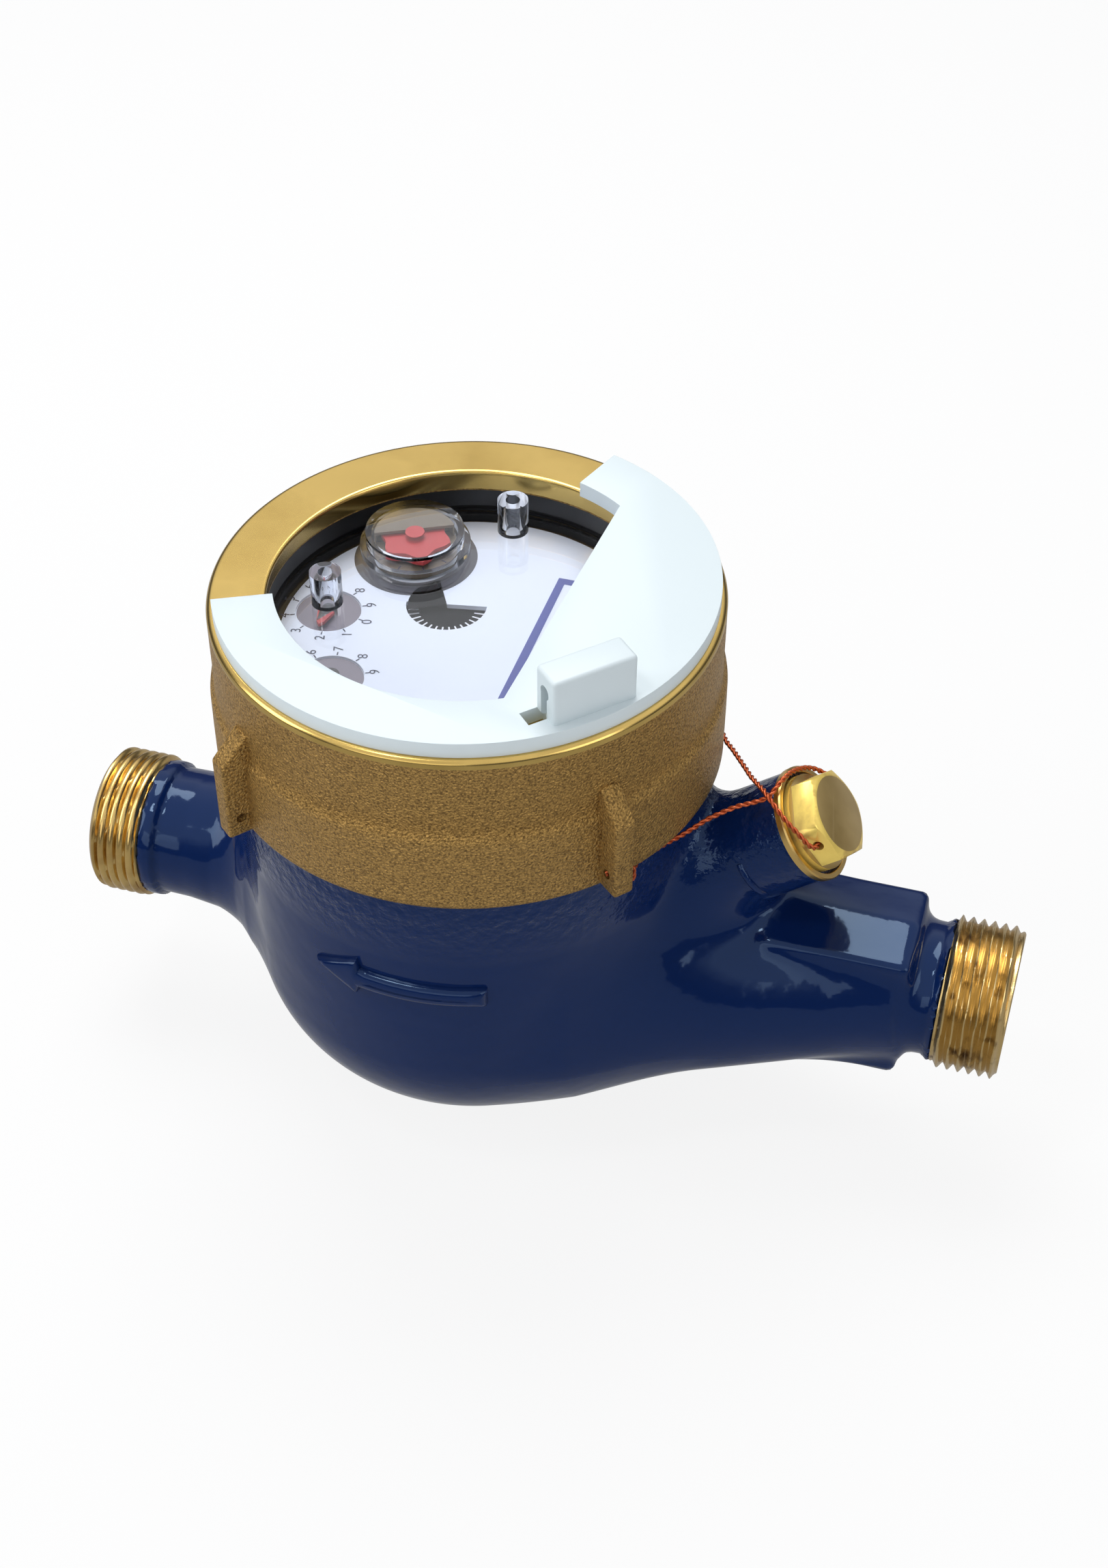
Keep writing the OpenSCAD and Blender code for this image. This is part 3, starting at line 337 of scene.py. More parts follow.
class Mesher:
    """Small mesh makers. Lengths are millimetres, heights are above the rest pad."""

    @staticmethod
    def piece(name: str, shape: Shape, *finishes: Finish, pick: Sequence[int] | None = None,
              sharp: float | None = 35.0) -> Thing:
        """Makes a mesh object at the origin.

        Args:
            name: The piece's name.
            shape: Its points in millimetres and the point numbers of each face.
            finishes: Its finishes.
            pick: The finish number of each face, all 0 if left out.
            sharp: Edges bent by more than this many degrees stay sharp. None keeps all faces flat.

        Returns:
            The new object.
        """
        points, faces = shape
        mesh = bpy.data.meshes.new(name)
        mesh.from_pydata((np.asarray(points, float) * MM).tolist(), [], [list(f) for f in faces])
        for finish in finishes:
            mesh.materials.append(BOX.get(finish))
        if pick is not None:
            mesh.polygons.foreach_set("material_index", np.asarray(pick, np.int32))
        mesh.validate()
        mesh.update()
        made = bpy.data.objects.new(name, mesh)
        bpy.context.scene.collection.objects.link(made)
        if sharp is not None:
            Mesher.smooth(made, sharp)
        return made

    @staticmethod
    def smooth(made: Thing, sharp: float) -> None:
        """Shades a mesh smooth, with its sharp edges kept.

        Args:
            made: The mesh object.
            sharp: The bend in degrees from which an edge stays sharp.
        """
        made.data.shade_smooth()
        made.data.set_sharp_from_angle(angle=math.radians(sharp))

    @staticmethod
    def arc(r: float | Array, first: float, last: float, count: int, centre: Pair = (0.0, 0.0)) -> Array:
        """Gives points along an arc.

        Args:
            r: Its radius, one for all or one for each point.
            first: First angle in degrees.
            last: Last angle in degrees.
            count: How many points.
            centre: Its middle.

        Returns:
            Rows of x and y.
        """
        t = np.radians(np.linspace(first, last, count))
        return np.c_[centre[0] + r * np.cos(t), centre[1] + r * np.sin(t)]

    @staticmethod
    def bands(rows: int, n: int) -> list[list[int]]:
        """Gives the quads between closed rows of points.

        Args:
            rows: How many rows.
            n: Points in a row.

        Returns:
            The point numbers of each quad.
        """
        return [[k * n + i, k * n + (i + 1) % n, (k + 1) * n + (i + 1) % n, (k + 1) * n + i]
                for k in range(rows - 1) for i in range(n)]

    @staticmethod
    def lathe(profile: Sequence[Pair], steps: int, close: bool = True) -> Shape:
        """Turns a profile of radius and height about Z.

        Args:
            profile: Radius and height of each point.
            steps: Faces around.
            close: Whether the last point joins the first.

        Returns:
            The points and the faces, in profile order for each step.
        """
        n = len(profile)
        a = np.linspace(0, TURN, steps, endpoint=False)
        r, z = np.array(profile, float).T
        points = np.stack([np.outer(np.cos(a), r), np.outer(np.sin(a), r), np.tile(z, (steps, 1))], -1)
        faces = [[i * n + k, j * n + k, j * n + m, i * n + m]
                 for i, j in zip(range(steps), [*range(1, steps), 0])
                 for k, m in zip(range(n), [*range(1, n), 0]) if close or m]
        return points.reshape(-1, 3), faces

    @staticmethod
    def prism(outline: Array, low: float, high: float) -> Shape:
        """Raises an outline in X and Y between two heights.

        Args:
            outline: Rows of x and y, counter-clockwise.
            low: Lower height.
            high: Upper height.

        Returns:
            The points and the faces.
        """
        n = len(outline)
        points = np.vstack([np.c_[outline, np.full(n, z)] for z in (low, high)])
        return points, [list(range(n))[::-1], list(range(n, 2 * n))] + Mesher.bands(2, n)

    @staticmethod
    def carry(route: Array) -> tuple[Array, Array]:
        """Carries two cross directions along a route without twist.

        Args:
            route: Rows of x, y and z.

        Returns:
            Both directions at each point.
        """
        along = np.gradient(route, axis=0)
        along /= np.linalg.norm(along, axis=1)[:, None]
        side, sides = np.array([0.0, 0.0, 1.0]), []
        for d in along:
            side = side - (side @ d) * d
            side = side / np.linalg.norm(side)
            sides.append(side)
        return np.array(sides), np.cross(along, sides)

    @staticmethod
    def tube(route: Array, radius: float, sides: int) -> Shape:
        """Sweeps a round section along a route.

        Args:
            route: Rows of x, y and z.
            radius: Radius of the section.
            sides: Sides of the section.

        Returns:
            The points and the faces.
        """
        n = len(route)
        up, over = Mesher.carry(route)
        a = np.linspace(0, TURN, sides, endpoint=False)[:, None]
        rings = route[:, None] + radius * (np.cos(a) * up[:, None] + np.sin(a) * over[:, None])
        ends = [list(range(sides))[::-1], list(range((n - 1) * sides, n * sides))]
        return rings.reshape(-1, 3), Mesher.bands(n, sides) + ends

    @staticmethod
    def settle(made: Thing) -> Thing:
        """Turns an object's live modifiers into a plain mesh.

        Args:
            made: The object.

        Returns:
            The same object.
        """
        graph = bpy.context.evaluated_depsgraph_get()
        plain = bpy.data.meshes.new_from_object(made.evaluated_get(graph))
        made.modifiers.clear()
        made.data = plain
        return made

    @staticmethod
    def bevel(made: Thing, width: float, steps: int = 3, angle: float = 40.0) -> None:
        """Rounds a piece's sharp edges.

        Args:
            made: The object.
            width: Width in millimetres.
            steps: Rounding steps.
            angle: Edges bent by more than this are rounded.
        """
        rounder = made.modifiers.new("rounding", "BEVEL")
        rounder.width = width * MM
        rounder.segments = steps
        rounder.limit_method = "ANGLE"
        rounder.angle_limit = math.radians(angle)
        Mesher.settle(made)
        Mesher.smooth(made, 30.0)

    @staticmethod
    def cut(made: Thing, *tools: Thing) -> None:
        """Cuts tools out of a piece and deletes them.

        Args:
            made: The object.
            tools: The closed meshes to cut away.
        """
        for tool in tools:
            cutter = made.modifiers.new("cut", "BOOLEAN")
            cutter.operation = "DIFFERENCE"
            cutter.object = tool
            Mesher.settle(made)
            bpy.data.objects.remove(tool)


def mount(made: Thing, body: Body, finish: Finish, *nodes: str) -> None:
    """Lets a piece ride on a body and stand for nodes, and reports it.

    Args:
        made: The piece.
        body: The body it moves with.
        finish: The finish that names its slot.
        nodes: The nodes that it stands for.
    """
    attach(made, body.value)
    if nodes:
        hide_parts(*nodes)
    LOG.info("%s rides on %s in %s", made.name, body.value, finish.name)


class RoundCopies:
    """Geometry Nodes tree that sets copies of a piece around the Z axis through a point."""

    kinds = {"Geometry": "Geometry", "Count": "Int", "First angle": "Float", "Step angle": "Float",
             "Centre": "Vector", "Finish": "Material"}

    def __init__(self) -> None:
        """Builds the tree, with a named input for each size."""
        self.tree = bpy.data.node_groups.new("round_copies", "GeometryNodeTree")
        face = self.tree.interface
        self.inputs = {name: face.new_socket(name, in_out="INPUT", socket_type="NodeSocket" + kind).identifier
                       for name, kind in self.kinds.items()}
        face.new_socket("Geometry", in_out="OUTPUT", socket_type="NodeSocketGeometry")
        wiring = Wiring(self.tree)
        given = wiring.add("NodeGroupInput").outputs
        points = wiring.add("GeometryNodePoints", {"Count": given["Count"], "Position": given["Centre"]})
        index = wiring.add("GeometryNodeInputIndex").outputs[0]
        steps = wiring.add("ShaderNodeMath", {0: index, 1: given["Step angle"]}, "MULTIPLY").outputs[0]
        angle = wiring.add("ShaderNodeMath", {0: steps, 1: given["First angle"]}, "ADD").outputs[0]
        turn = wiring.add("ShaderNodeCombineXYZ", {"Z": angle}).outputs[0]
        spread = wiring.add("GeometryNodeInstanceOnPoints", {
            "Points": points.outputs[0], "Instance": given["Geometry"], "Rotation": turn})
        real = wiring.add("GeometryNodeRealizeInstances", {0: spread.outputs[0]}).outputs[0]
        dress = wiring.add("GeometryNodeSetMaterial", {"Geometry": real, "Material": given["Finish"]})
        wiring.add("NodeGroupOutput", {0: dress.outputs[0]})

    def spread(self, made: Thing, count: int, first: float, centre: Triple, finish: Finish) -> None:
        """Sets copies of a piece evenly around an axis and leaves a plain mesh.

        Args:
            made: The piece, drawn about the origin.
            count: How many copies.
            first: Angle of the first, in degrees.
            centre: Place of the axis in millimetres.
            finish: The copies' finish.
        """
        modifier = made.modifiers.new("copies", "NODES")
        modifier.node_group = self.tree
        sizes = {"Count": count, "First angle": math.radians(first), "Step angle": math.radians(360.0 / count),
                 "Centre": [c * MM for c in centre], "Finish": BOX.get(finish)}
        for name, value in sizes.items():
            modifier[self.inputs[name]] = value
        Mesher.settle(made)


def soft_min(a: Array, b: Array, k: Array | float) -> Array:
    """Joins two distance fields with a fillet.

    Args:
        a: One field.
        b: The other.
        k: About the fillet's size.

    Returns:
        The joined field.
    """
    h = np.maximum(k - np.abs(a - b), 0.0) / k
    return np.minimum(a, b) - h * h * k * 0.25


def soft_max(a: Array, b: Array, k: float) -> Array:
    """Intersects two distance fields with a rounded edge.

    Args:
        a: One field.
        b: The other.
        k: About the edge's size.

    Returns:
        The field of what both hold.
    """
    return -soft_min(-a, -b, k)


@dataclass(frozen=True)
class CastBody:
    """The painted casting as one smooth skin. Heights in its fields are from the pipe axis.

    Its methods give distances in millimetres, below 0 inside, and a pair of rows holds places and radii there.
    """

    bowl_r: float = 38.9
    bowl_depth: float = 31.0
    bowl_drop: float = 3.8
    barrel: tuple = ((-4, 8, 22, 33, 36), (38.9, 39.2, 39.3, 39.9, 39.9))
    top: float = 37.2
    top_round: float = 0.8
    pad_round: float = 0.4
    taper_from: Triple = (76.5, 0.0, 12.1)  # x, height and radius
    taper_to: Triple = (22.0, -7.6, 25.9)
    taper_past: float = 1.4
    keel_at: Pair = (22.0, -26.0)  # radius and height
    keel_rise: float = 0.2356
    keel_square: float = 0.97
    keel_round: float = 8.0
    block_half: float = 9.8
    block_ends: Pair = (53.6, 78.6)
    block_rounds: Triple = (0.9, 2.2, 1.6)  # sides and both ends
    roof_way: Pair = (0.1513, 0.9885)
    roof_at: float = 14.135
    boss_at: Pair = (58.8, 32.4)
    boss_flare: tuple = ((-30, -20, -13, -1), (12.4, 10.4, 9.45, 9.35))
    boss_sunk: float = 1.0
    boss_round: float = 0.6
    boss_depth: float = 32.0
    inlet_neck: tuple = ((78, 82.6, 83.4, 85), (11.5, 11.5, 12.3, 12.3))
    inlet_root: float = 84.0
    inlet_end: float = 95.5
    neck_from: float = 70.0
    outlet_flare: tuple = ((20, 37, 40, 46, 52, 57, 57.6, 61), (19, 15.8, 14.2, 12.4, 11.7, 11.6, 12.4, 12.5))
    outlet_root: float = 60.0
    outlet_end: float = 69.5
    outlet_from: float = 20.0
    bore_r: float = 7.5
    bore_middle: float = -12.0
    bore_gap: float = 48.0
    blend_by_height: tuple = ((-28, -8), (5.5, 15.0))
    blend_by_x: tuple = ((4, 26), (0.06, 1.0))
    outlet_fillet: float = 8.0
    boss_fillet: float = 6.0
    block_fillet: float = 3.0
    reach: tuple[Pair, ...] = ((-60.6, 84.6), (-41.5, 41.5), (-35.2, 37.8))
    grid: float = 0.72
    quick_coarser: float = 1.7
    slabs: int = 12
    probe: float = 0.05
    longest_move: float = 0.35
    rib_angles: Pair = (-108.0, -58.0)
    rib_r: float = 0.6
    rib_sunk: float = 9.1
    rib_rise: float = 0.3
    rib_depths: Pair = (-10.6, -10.9)
    arrow_r: float = 39.2
    arrow_edge: tuple[Pair, ...] = (
        (-15.4, 15.5), (-7.6, 11.6), (-7.0, 13.4), (4, 13.2), (14.2, 13.2), (14.2, 16.9), (4, 17.0),
        (-7.0, 17.3), (-7.4, 19.4))
    arrow_crown: tuple[Pair, ...] = (
        (-12.5, 15.5), (-8.6, 13.9), (-7.9, 15.0), (4, 14.9), (13.2, 14.9), (13.2, 15.3), (4, 15.3),
        (-7.9, 15.6), (-8.6, 16.9))
    arrow_rises: tuple[Pair, ...] = (  # share of the way to the crown, and rise
        (0.0, -0.5), (0.0, 0.5), (0.15, 1.0), (0.35, 1.3), (0.65, 1.5), (1.0, 1.55))
    rim_profile: tuple[Pair, ...] = (
        (9.3, -1.4), (9.7, -1.2), (9.75, -0.25), (9.55, 0.0), (8.8, 0.0), (8.7, -0.1), (8.7, -1.8),
        (6.1, -1.8), (6.1, -2.4))

    def bowl(self, at: Sequence[Array]) -> Array:
        """Measures from the bowl with its barrel, shoulder and rest pad.

        Args:
            at: The x, y and z of the places.

        Returns:
            The distances.
        """
        x, y, z = at
        r, low = np.hypot(x, y), z + self.bowl_drop
        k0 = np.sqrt((r / self.bowl_r) ** 2 + (low / self.bowl_depth) ** 2) + 1e-9
        k1 = np.sqrt((r / self.bowl_r ** 2) ** 2 + (low / self.bowl_depth ** 2) ** 2) + 1e-9
        d = np.where(low < 0, k0 * (k0 - 1) / k1, r - np.interp(z, *self.barrel))
        return soft_max(soft_max(d, z - self.top, self.top_round), -AXIS_Z - z, self.pad_round)

    def fairing(self, at: Sequence[Array]) -> Array:
        """Measures from the tapering inlet.

        Args:
            at: The x, y and z of the places.

        Returns:
            The distances.
        """
        x, y, z = at
        (ax, az, ra), (bx, bz, rb) = self.taper_from, self.taper_to
        dx, dz = bx - ax, bz - az
        length = math.hypot(dx, dz)
        t = ((x - ax) * dx + (z - az) * dz) / length ** 2
        off = np.sqrt((x - ax - t * dx) ** 2 + y ** 2 + (z - az - t * dz) ** 2)
        d = (off - ra - t * (rb - ra)) * math.cos(math.atan2(rb - ra, length))
        d = np.maximum(np.maximum(d, -t * length), (t - self.taper_past) * length)
        keel = self.keel_at[1] + (np.hypot(x, y) - self.keel_at[0]) * self.keel_rise
        return soft_max(d, (keel - z) * self.keel_square, self.keel_round)

    def block(self, at: Sequence[Array]) -> Array:
        """Measures from the wrench block.

        Args:
            at: The x, y and z of the places.

        Returns:
            The distances.
        """
        x, y, z = at
        side, near, far = self.block_rounds
        roof = np.abs(y) * self.roof_way[0] + np.abs(z) * self.roof_way[1] - self.roof_at
        d = soft_max(np.abs(y) - self.block_half, roof, side)
        return soft_max(soft_max(d, x - self.block_ends[1], far), self.block_ends[0] - x, near)

    def boss(self, at: Sequence[Array]) -> Array:
        """Measures from the slanting boss.

        Args:
            at: The x, y and z of the places.

        Returns:
            The distances.
        """
        dx, y, dz = at[0] - self.boss_at[0], at[1], at[2] - self.boss_at[1]
        t = dx * math.cos(BOSS_SLOPE) + dz * math.sin(BOSS_SLOPE)
        r = np.sqrt(np.maximum(dx * dx + y * y + dz * dz - t * t, 0.0))
        d = soft_max(r - np.interp(t, *self.boss_flare), t + self.boss_sunk, self.boss_round)
        return np.maximum(d, -self.boss_depth - t)

    def skin(self, at: Sequence[Array]) -> Array:
        """Measures from the whole painted skin.

        Args:
            at: The x, y and z of the places.

        Returns:
            The distances.
        """
        x, y, z = at
        pipe = np.hypot(y, z)
        outlet = np.maximum(np.maximum(pipe - np.interp(-x, *self.outlet_flare), -self.outlet_root - x),
                            x + self.outlet_from)
        neck = np.maximum(np.maximum(pipe - np.interp(x, *self.inlet_neck), self.neck_from - x),
                          x - self.inlet_root)
        blend = np.interp(z, *self.blend_by_height) * np.interp(x, *self.blend_by_x)
        d = soft_min(self.bowl(at), self.fairing(at), blend)
        d = soft_min(d, outlet, self.outlet_fillet)
        d = soft_min(d, self.boss(at), self.boss_fillet)
        d = soft_min(d, soft_min(neck, self.block(at), self.block_fillet), self.block_fillet)
        hole = np.maximum(pipe - self.bore_r, self.bore_gap - np.abs(x - self.bore_middle))
        return np.maximum(d, -hole)

    def mesh(self) -> Shape:
        """Turns the skin into a mesh.

        Returns:
            The points above the rest pad, and the quads.
        """
        h = self.grid * 1.0
        axes = [np.arange(lo - h, hi + 2 * h, h) for lo, hi in self.reach]
        field = np.concatenate([self.skin(np.meshgrid(part, axes[1], axes[2], indexing="ij"))
                                for part in np.array_split(axes[0], self.slabs)])
        inside = field < 0
        live, where = self._crossings(field, inside)
        number = np.full(live.shape, -1, np.int64)
        number[live] = np.arange(int(live.sum()))
        points = self._draw_in(np.stack([axes[k][0] + h * where[:, k] for k in range(3)], 1))
        points[:, 2] += AXIS_Z
        return points, self._quads(inside, number).tolist()

    @staticmethod
    def _crossings(field: Array, inside: Array) -> tuple[Array, Array]:
        """Finds the cells that the skin runs through.

        Args:
            field: The distance at each grid point.
            inside: Whether each grid point is inside.

        Returns:
            Which cells these are, and the skin's middle in each, in cells.
        """
        cells = tuple(n - 1 for n in field.shape)
        total, hits = np.zeros((*cells, 3), np.float32), np.zeros(cells, np.float32)
        for axis in range(3):
            others = [k for k in range(3) if k != axis]
            for u, v in ((0, 0), (0, 1), (1, 0), (1, 1)):
                near = [slice(None)] * 3
                for o, shift in zip(others, (u, v)):
                    near[o] = slice(shift, field.shape[o] - 1 + shift)
                far = list(near)
                near[axis], far[axis] = slice(0, -1), slice(1, None)
                a, b = field[tuple(near)], field[tuple(far)]
                crossing = inside[tuple(near)] != inside[tuple(far)]
                hits += crossing
                total[..., axis] += np.where(crossing, a / np.where(a == b, 1.0, a - b), 0.0)
                total[..., others[0]] += crossing * u
                total[..., others[1]] += crossing * v
        live = hits > 0
        return live, np.argwhere(live) + total[live] / hits[live][:, None]

    @staticmethod
    def _quads(inside: Array, number: Array) -> Array:
        """Joins the four cells around each grid edge that the skin cuts.

        Args:
            inside: Whether each grid point is inside.
            number: The point number of each cell.

        Returns:
            The quads, facing outwards.
        """
        quads = []
        for axis in range(3):
            near, far = [slice(1, -1)] * 3, [slice(1, -1)] * 3
            near[axis], far[axis] = slice(0, -1), slice(1, None)
            a, b = inside[tuple(near)], inside[tuple(far)]
            at = np.argwhere(a != b) + np.array([0 if k == axis else 1 for k in range(3)])
            out = a[a != b]
            ring = []
            for du, dv in ((-1, -1), (0, -1), (0, 0), (-1, 0)):
                cell = at.copy()
                cell[:, (axis + 1) % 3] += du
                cell[:, (axis + 2) % 3] += dv
                ring.append(number[tuple(cell.T)])
            quad = np.stack(ring, 1)
            quad[~out] = quad[~out][:, ::-1]
            quads.append(quad)
        return np.vstack(quads)

    def _draw_in(self, points: Array) -> Array:
        """Draws points onto the skin.

        Args:
            points: Rows near the skin.

        Returns:
            The rows on it.
        """
        e = self.probe
        for _ in range(2):
            at = points.T
            slope = np.stack([(self.skin(at + e * way) - self.skin(at - e * way)) / (2 * e)
                              for way in np.eye(3)[:, :, None]], 1)
            move = slope * (self.skin(at) / np.maximum((slope ** 2).sum(1), 0.2))[:, None]
            far = np.maximum(np.linalg.norm(move, axis=1), 1e-6)
            points = points - move * np.minimum(1.0, self.longest_move / far)[:, None]
        return points

    def build(self) -> None:
        """Makes the skin, the arrow, the threads and the boss's rim and rib."""
        mount(Mesher.piece("painted_body", self.mesh(), PAINT, sharp=50.0), Body.METER, PAINT, "body")
        self.arrow()
        Thread("inlet_thread", self.inlet_root, self.inlet_end, 1.0, Crest.SHARP).build()
        Thread("outlet_thread", self.outlet_root, self.outlet_end, -1.0, Crest.ROUND).build()
        rim = Mesher.lathe(self.rim_profile, 96, close=False)
        mount(Mesher.piece("boss_rim", (BossFrame().place(rim[0]), rim[1]), RIM), Body.METER, RIM)
        self.rib()

    def rib(self) -> None:
        """Makes the small cast rib across the side of the boss."""
        steps = 24
        sunk = self.rib_sunk + self.rib_rise * np.sin(np.linspace(0.0, math.pi, steps)) ** 0.5
        around = Mesher.arc(sunk, *self.rib_angles, steps)
        route = BossFrame().place(np.c_[around, np.linspace(*self.rib_depths, steps)])
        mount(Mesher.piece("boss_rib", Mesher.tube(route, self.rib_r, 12), PAINT, sharp=60.0), Body.METER, PAINT)

    def arrow(self) -> None:
        """Makes the raised flow arrow on the front of the bowl."""
        edge, crown = (np.vstack([np.linspace(p, q, 9)[:-1] for p, q in zip(side, side[1:] + side[:1])])
                       for side in (self.arrow_edge, self.arrow_crown))
        rows, n = [], len(edge)
        for share, rise in self.arrow_rises:
            x, z = (edge * (1 - share) + crown * share).T
            rows.append(np.c_[x, -np.sqrt((self.arrow_r + rise) ** 2 - x ** 2), z + AXIS_Z])
        last = (len(rows) - 1) * n
        faces = Mesher.bands(len(rows), n) + [list(range(last, last + n))]
        mount(Mesher.piece("flow_arrow", (np.vstack(rows), faces), PAINT, sharp=60.0), Body.METER, PAINT)


@dataclass(frozen=True)
class BossFrame:
    """The slanting frame of the regulating boss."""

    x: float = 58.8
    z: float = 66.9

    def place(self, points: Array) -> Array:
        """Moves points from the boss's own frame, with Z out of its face, to the part's frame.

        Args:
            points: Rows of x, y and z in the boss's frame.

        Returns:
            The points in the part's frame.
        """
        c, s = math.cos(BOSS_SLOPE), math.sin(BOSS_SLOPE)
        x, y, z = np.asarray(points, float).T
        return np.stack([self.x + x * s + z * c, y, self.z - x * c + z * s], 1)


@dataclass(frozen=True)
class Thread:
    """One pipe thread with its end face and the mouth of its bore."""

    name: str
    root: float
    end: float
    side: float
    crest: Crest
    crest_r: float = 13.22
    depth: float = 1.1
    pitch: float = 1.814
    lead_in: float = 0.9
    lead_out: float = 0.5
    end_drop: float = 0.15
    face_drop: float = 1.7
    bore_r: float = 7.5
    mouth: float = 0.5
    bore_depth: float = 14.0

    def build(self) -> None:
        """Makes the thread."""
        steps, rows = 144, int((self.end - self.root) / self.pitch * 10)
        along = np.linspace(self.root, self.end, rows)
        a = np.linspace(0, TURN, steps, endpoint=False)
        phase = (along[None, :] / self.pitch - a[:, None] / TURN) % 1.0
        if self.crest is Crest.SHARP:
            finish, crest = STAINED, np.clip((1 - np.abs(2 * phase - 1)) * 1.25 - 0.12, 0, 1)
        else:
            finish, crest = THREAD, np.sqrt(np.clip(np.sin(math.pi * phase), 0, 1)) * 0.95
        fade = (np.clip((self.end - along) / self.lead_in, 0, 1)
                * np.clip((along - self.root) / self.lead_out, 0, 1))
        r = self.crest_r - self.depth * (1 - crest * fade[None, :])
        r[:, -1] = self.crest_r - self.depth - self.end_drop
        rings = [(self.bore_r, self.root), *zip(r.T, along), (self.crest_r - self.face_drop, self.end),
                 (self.bore_r + self.mouth, self.end), (self.bore_r, self.end - self.mouth),
                 (self.bore_r, self.end - self.bore_depth)]
        points = np.vstack([np.c_[np.full(steps, self.side * x), radius * np.cos(a), AXIS_Z + radius * np.sin(a)]
                            for radius, x in rings])
        faces = Mesher.bands(len(rings), steps)
        if self.side > 0:
            faces = [quad[::-1] for quad in faces]
        mount(Mesher.piece(self.name, (points, faces), finish, sharp=50.0), Body.METER, finish)


@dataclass(frozen=True)
class HeadRing:
    """The brass ring with its sealing lugs. Heights in the profile and the lug's side are from the pipe axis."""

    profile: tuple[Pair, ...] = (
        (37.75, 37.6), (41.5, 37.6), (41.9, 37.75), (42.1, 38.2), (42.1, 39.2), (42.1, 46.0), (42.05, 51.0),
        (41.9, 51.8), (41.4, 52.4), (41.25, 53.2), (41.22, 54.4), (41.2, 65.8), (41.2, 66.55), (41.05, 66.85),
        (40.75, 67.15), (40.4, 67.3), (40.1, 67.3), (32.4, 67.3), (32.1, 67.3), (31.8, 67.15), (31.7, 66.9),
        (31.75, 66.5), (32.25, 63.5), (32.3, 63.2), (37.75, 63.2))
    polished_from: float = 64.0
    lug_side: tuple[Pair, ...] = ((39.5, 37.6), (46.0, 37.6), (46.0, 52.3), (41.5, 57.2), (39.5, 57.2))
    lug_half: float = 1.8
    lug_round: float = 0.55
    lug_angle: float = 49.0
    lug_count: int = 4
    hole_at: Pair = (43.6, 75.7)
    hole_r: float = 0.9

    def build(self, copies: RoundCopies) -> None:
        """Makes the ring and its lugs.

        Args:
            copies: The tree that sets the lugs around the ring.
        """
        points, faces = Mesher.lathe([(r, z + AXIS_Z) for r, z in self.profile], 256)
        z = [h for _, h in self.profile]
        turned = [int((a + b) / 2 > self.polished_from) for a, b in zip(z, z[1:] + z[:1])]
        ring = Mesher.piece("brass_ring", (points, faces), CAST, POLISHED,
                            pick=turned * (len(faces) // len(turned)), sharp=50.0)
        mount(ring, Body.METER, CAST, "head_ring")
        flat, walls = Mesher.prism(np.array(self.lug_side), -self.lug_half, self.lug_half)
        upright = np.c_[flat[:, 0], -flat[:, 2], flat[:, 1] + AXIS_Z]
        lug = Mesher.piece("sealing_lugs", (upright, walls), CAST, sharp=None)
        Mesher.bevel(lug, self.lug_round)
        through = np.array([[self.hole_at[0], y, self.hole_at[1]] for y in (-4.0, 4.0)])
        Mesher.cut(lug, Mesher.piece("drill", Mesher.tube(through, self.hole_r, 20), CAST, sharp=None))
        copies.spread(lug, self.lug_count, self.lug_angle, (0, 0, 0), CAST)
        Mesher.smooth(lug, 30.0)
        mount(lug, Body.METER, CAST)


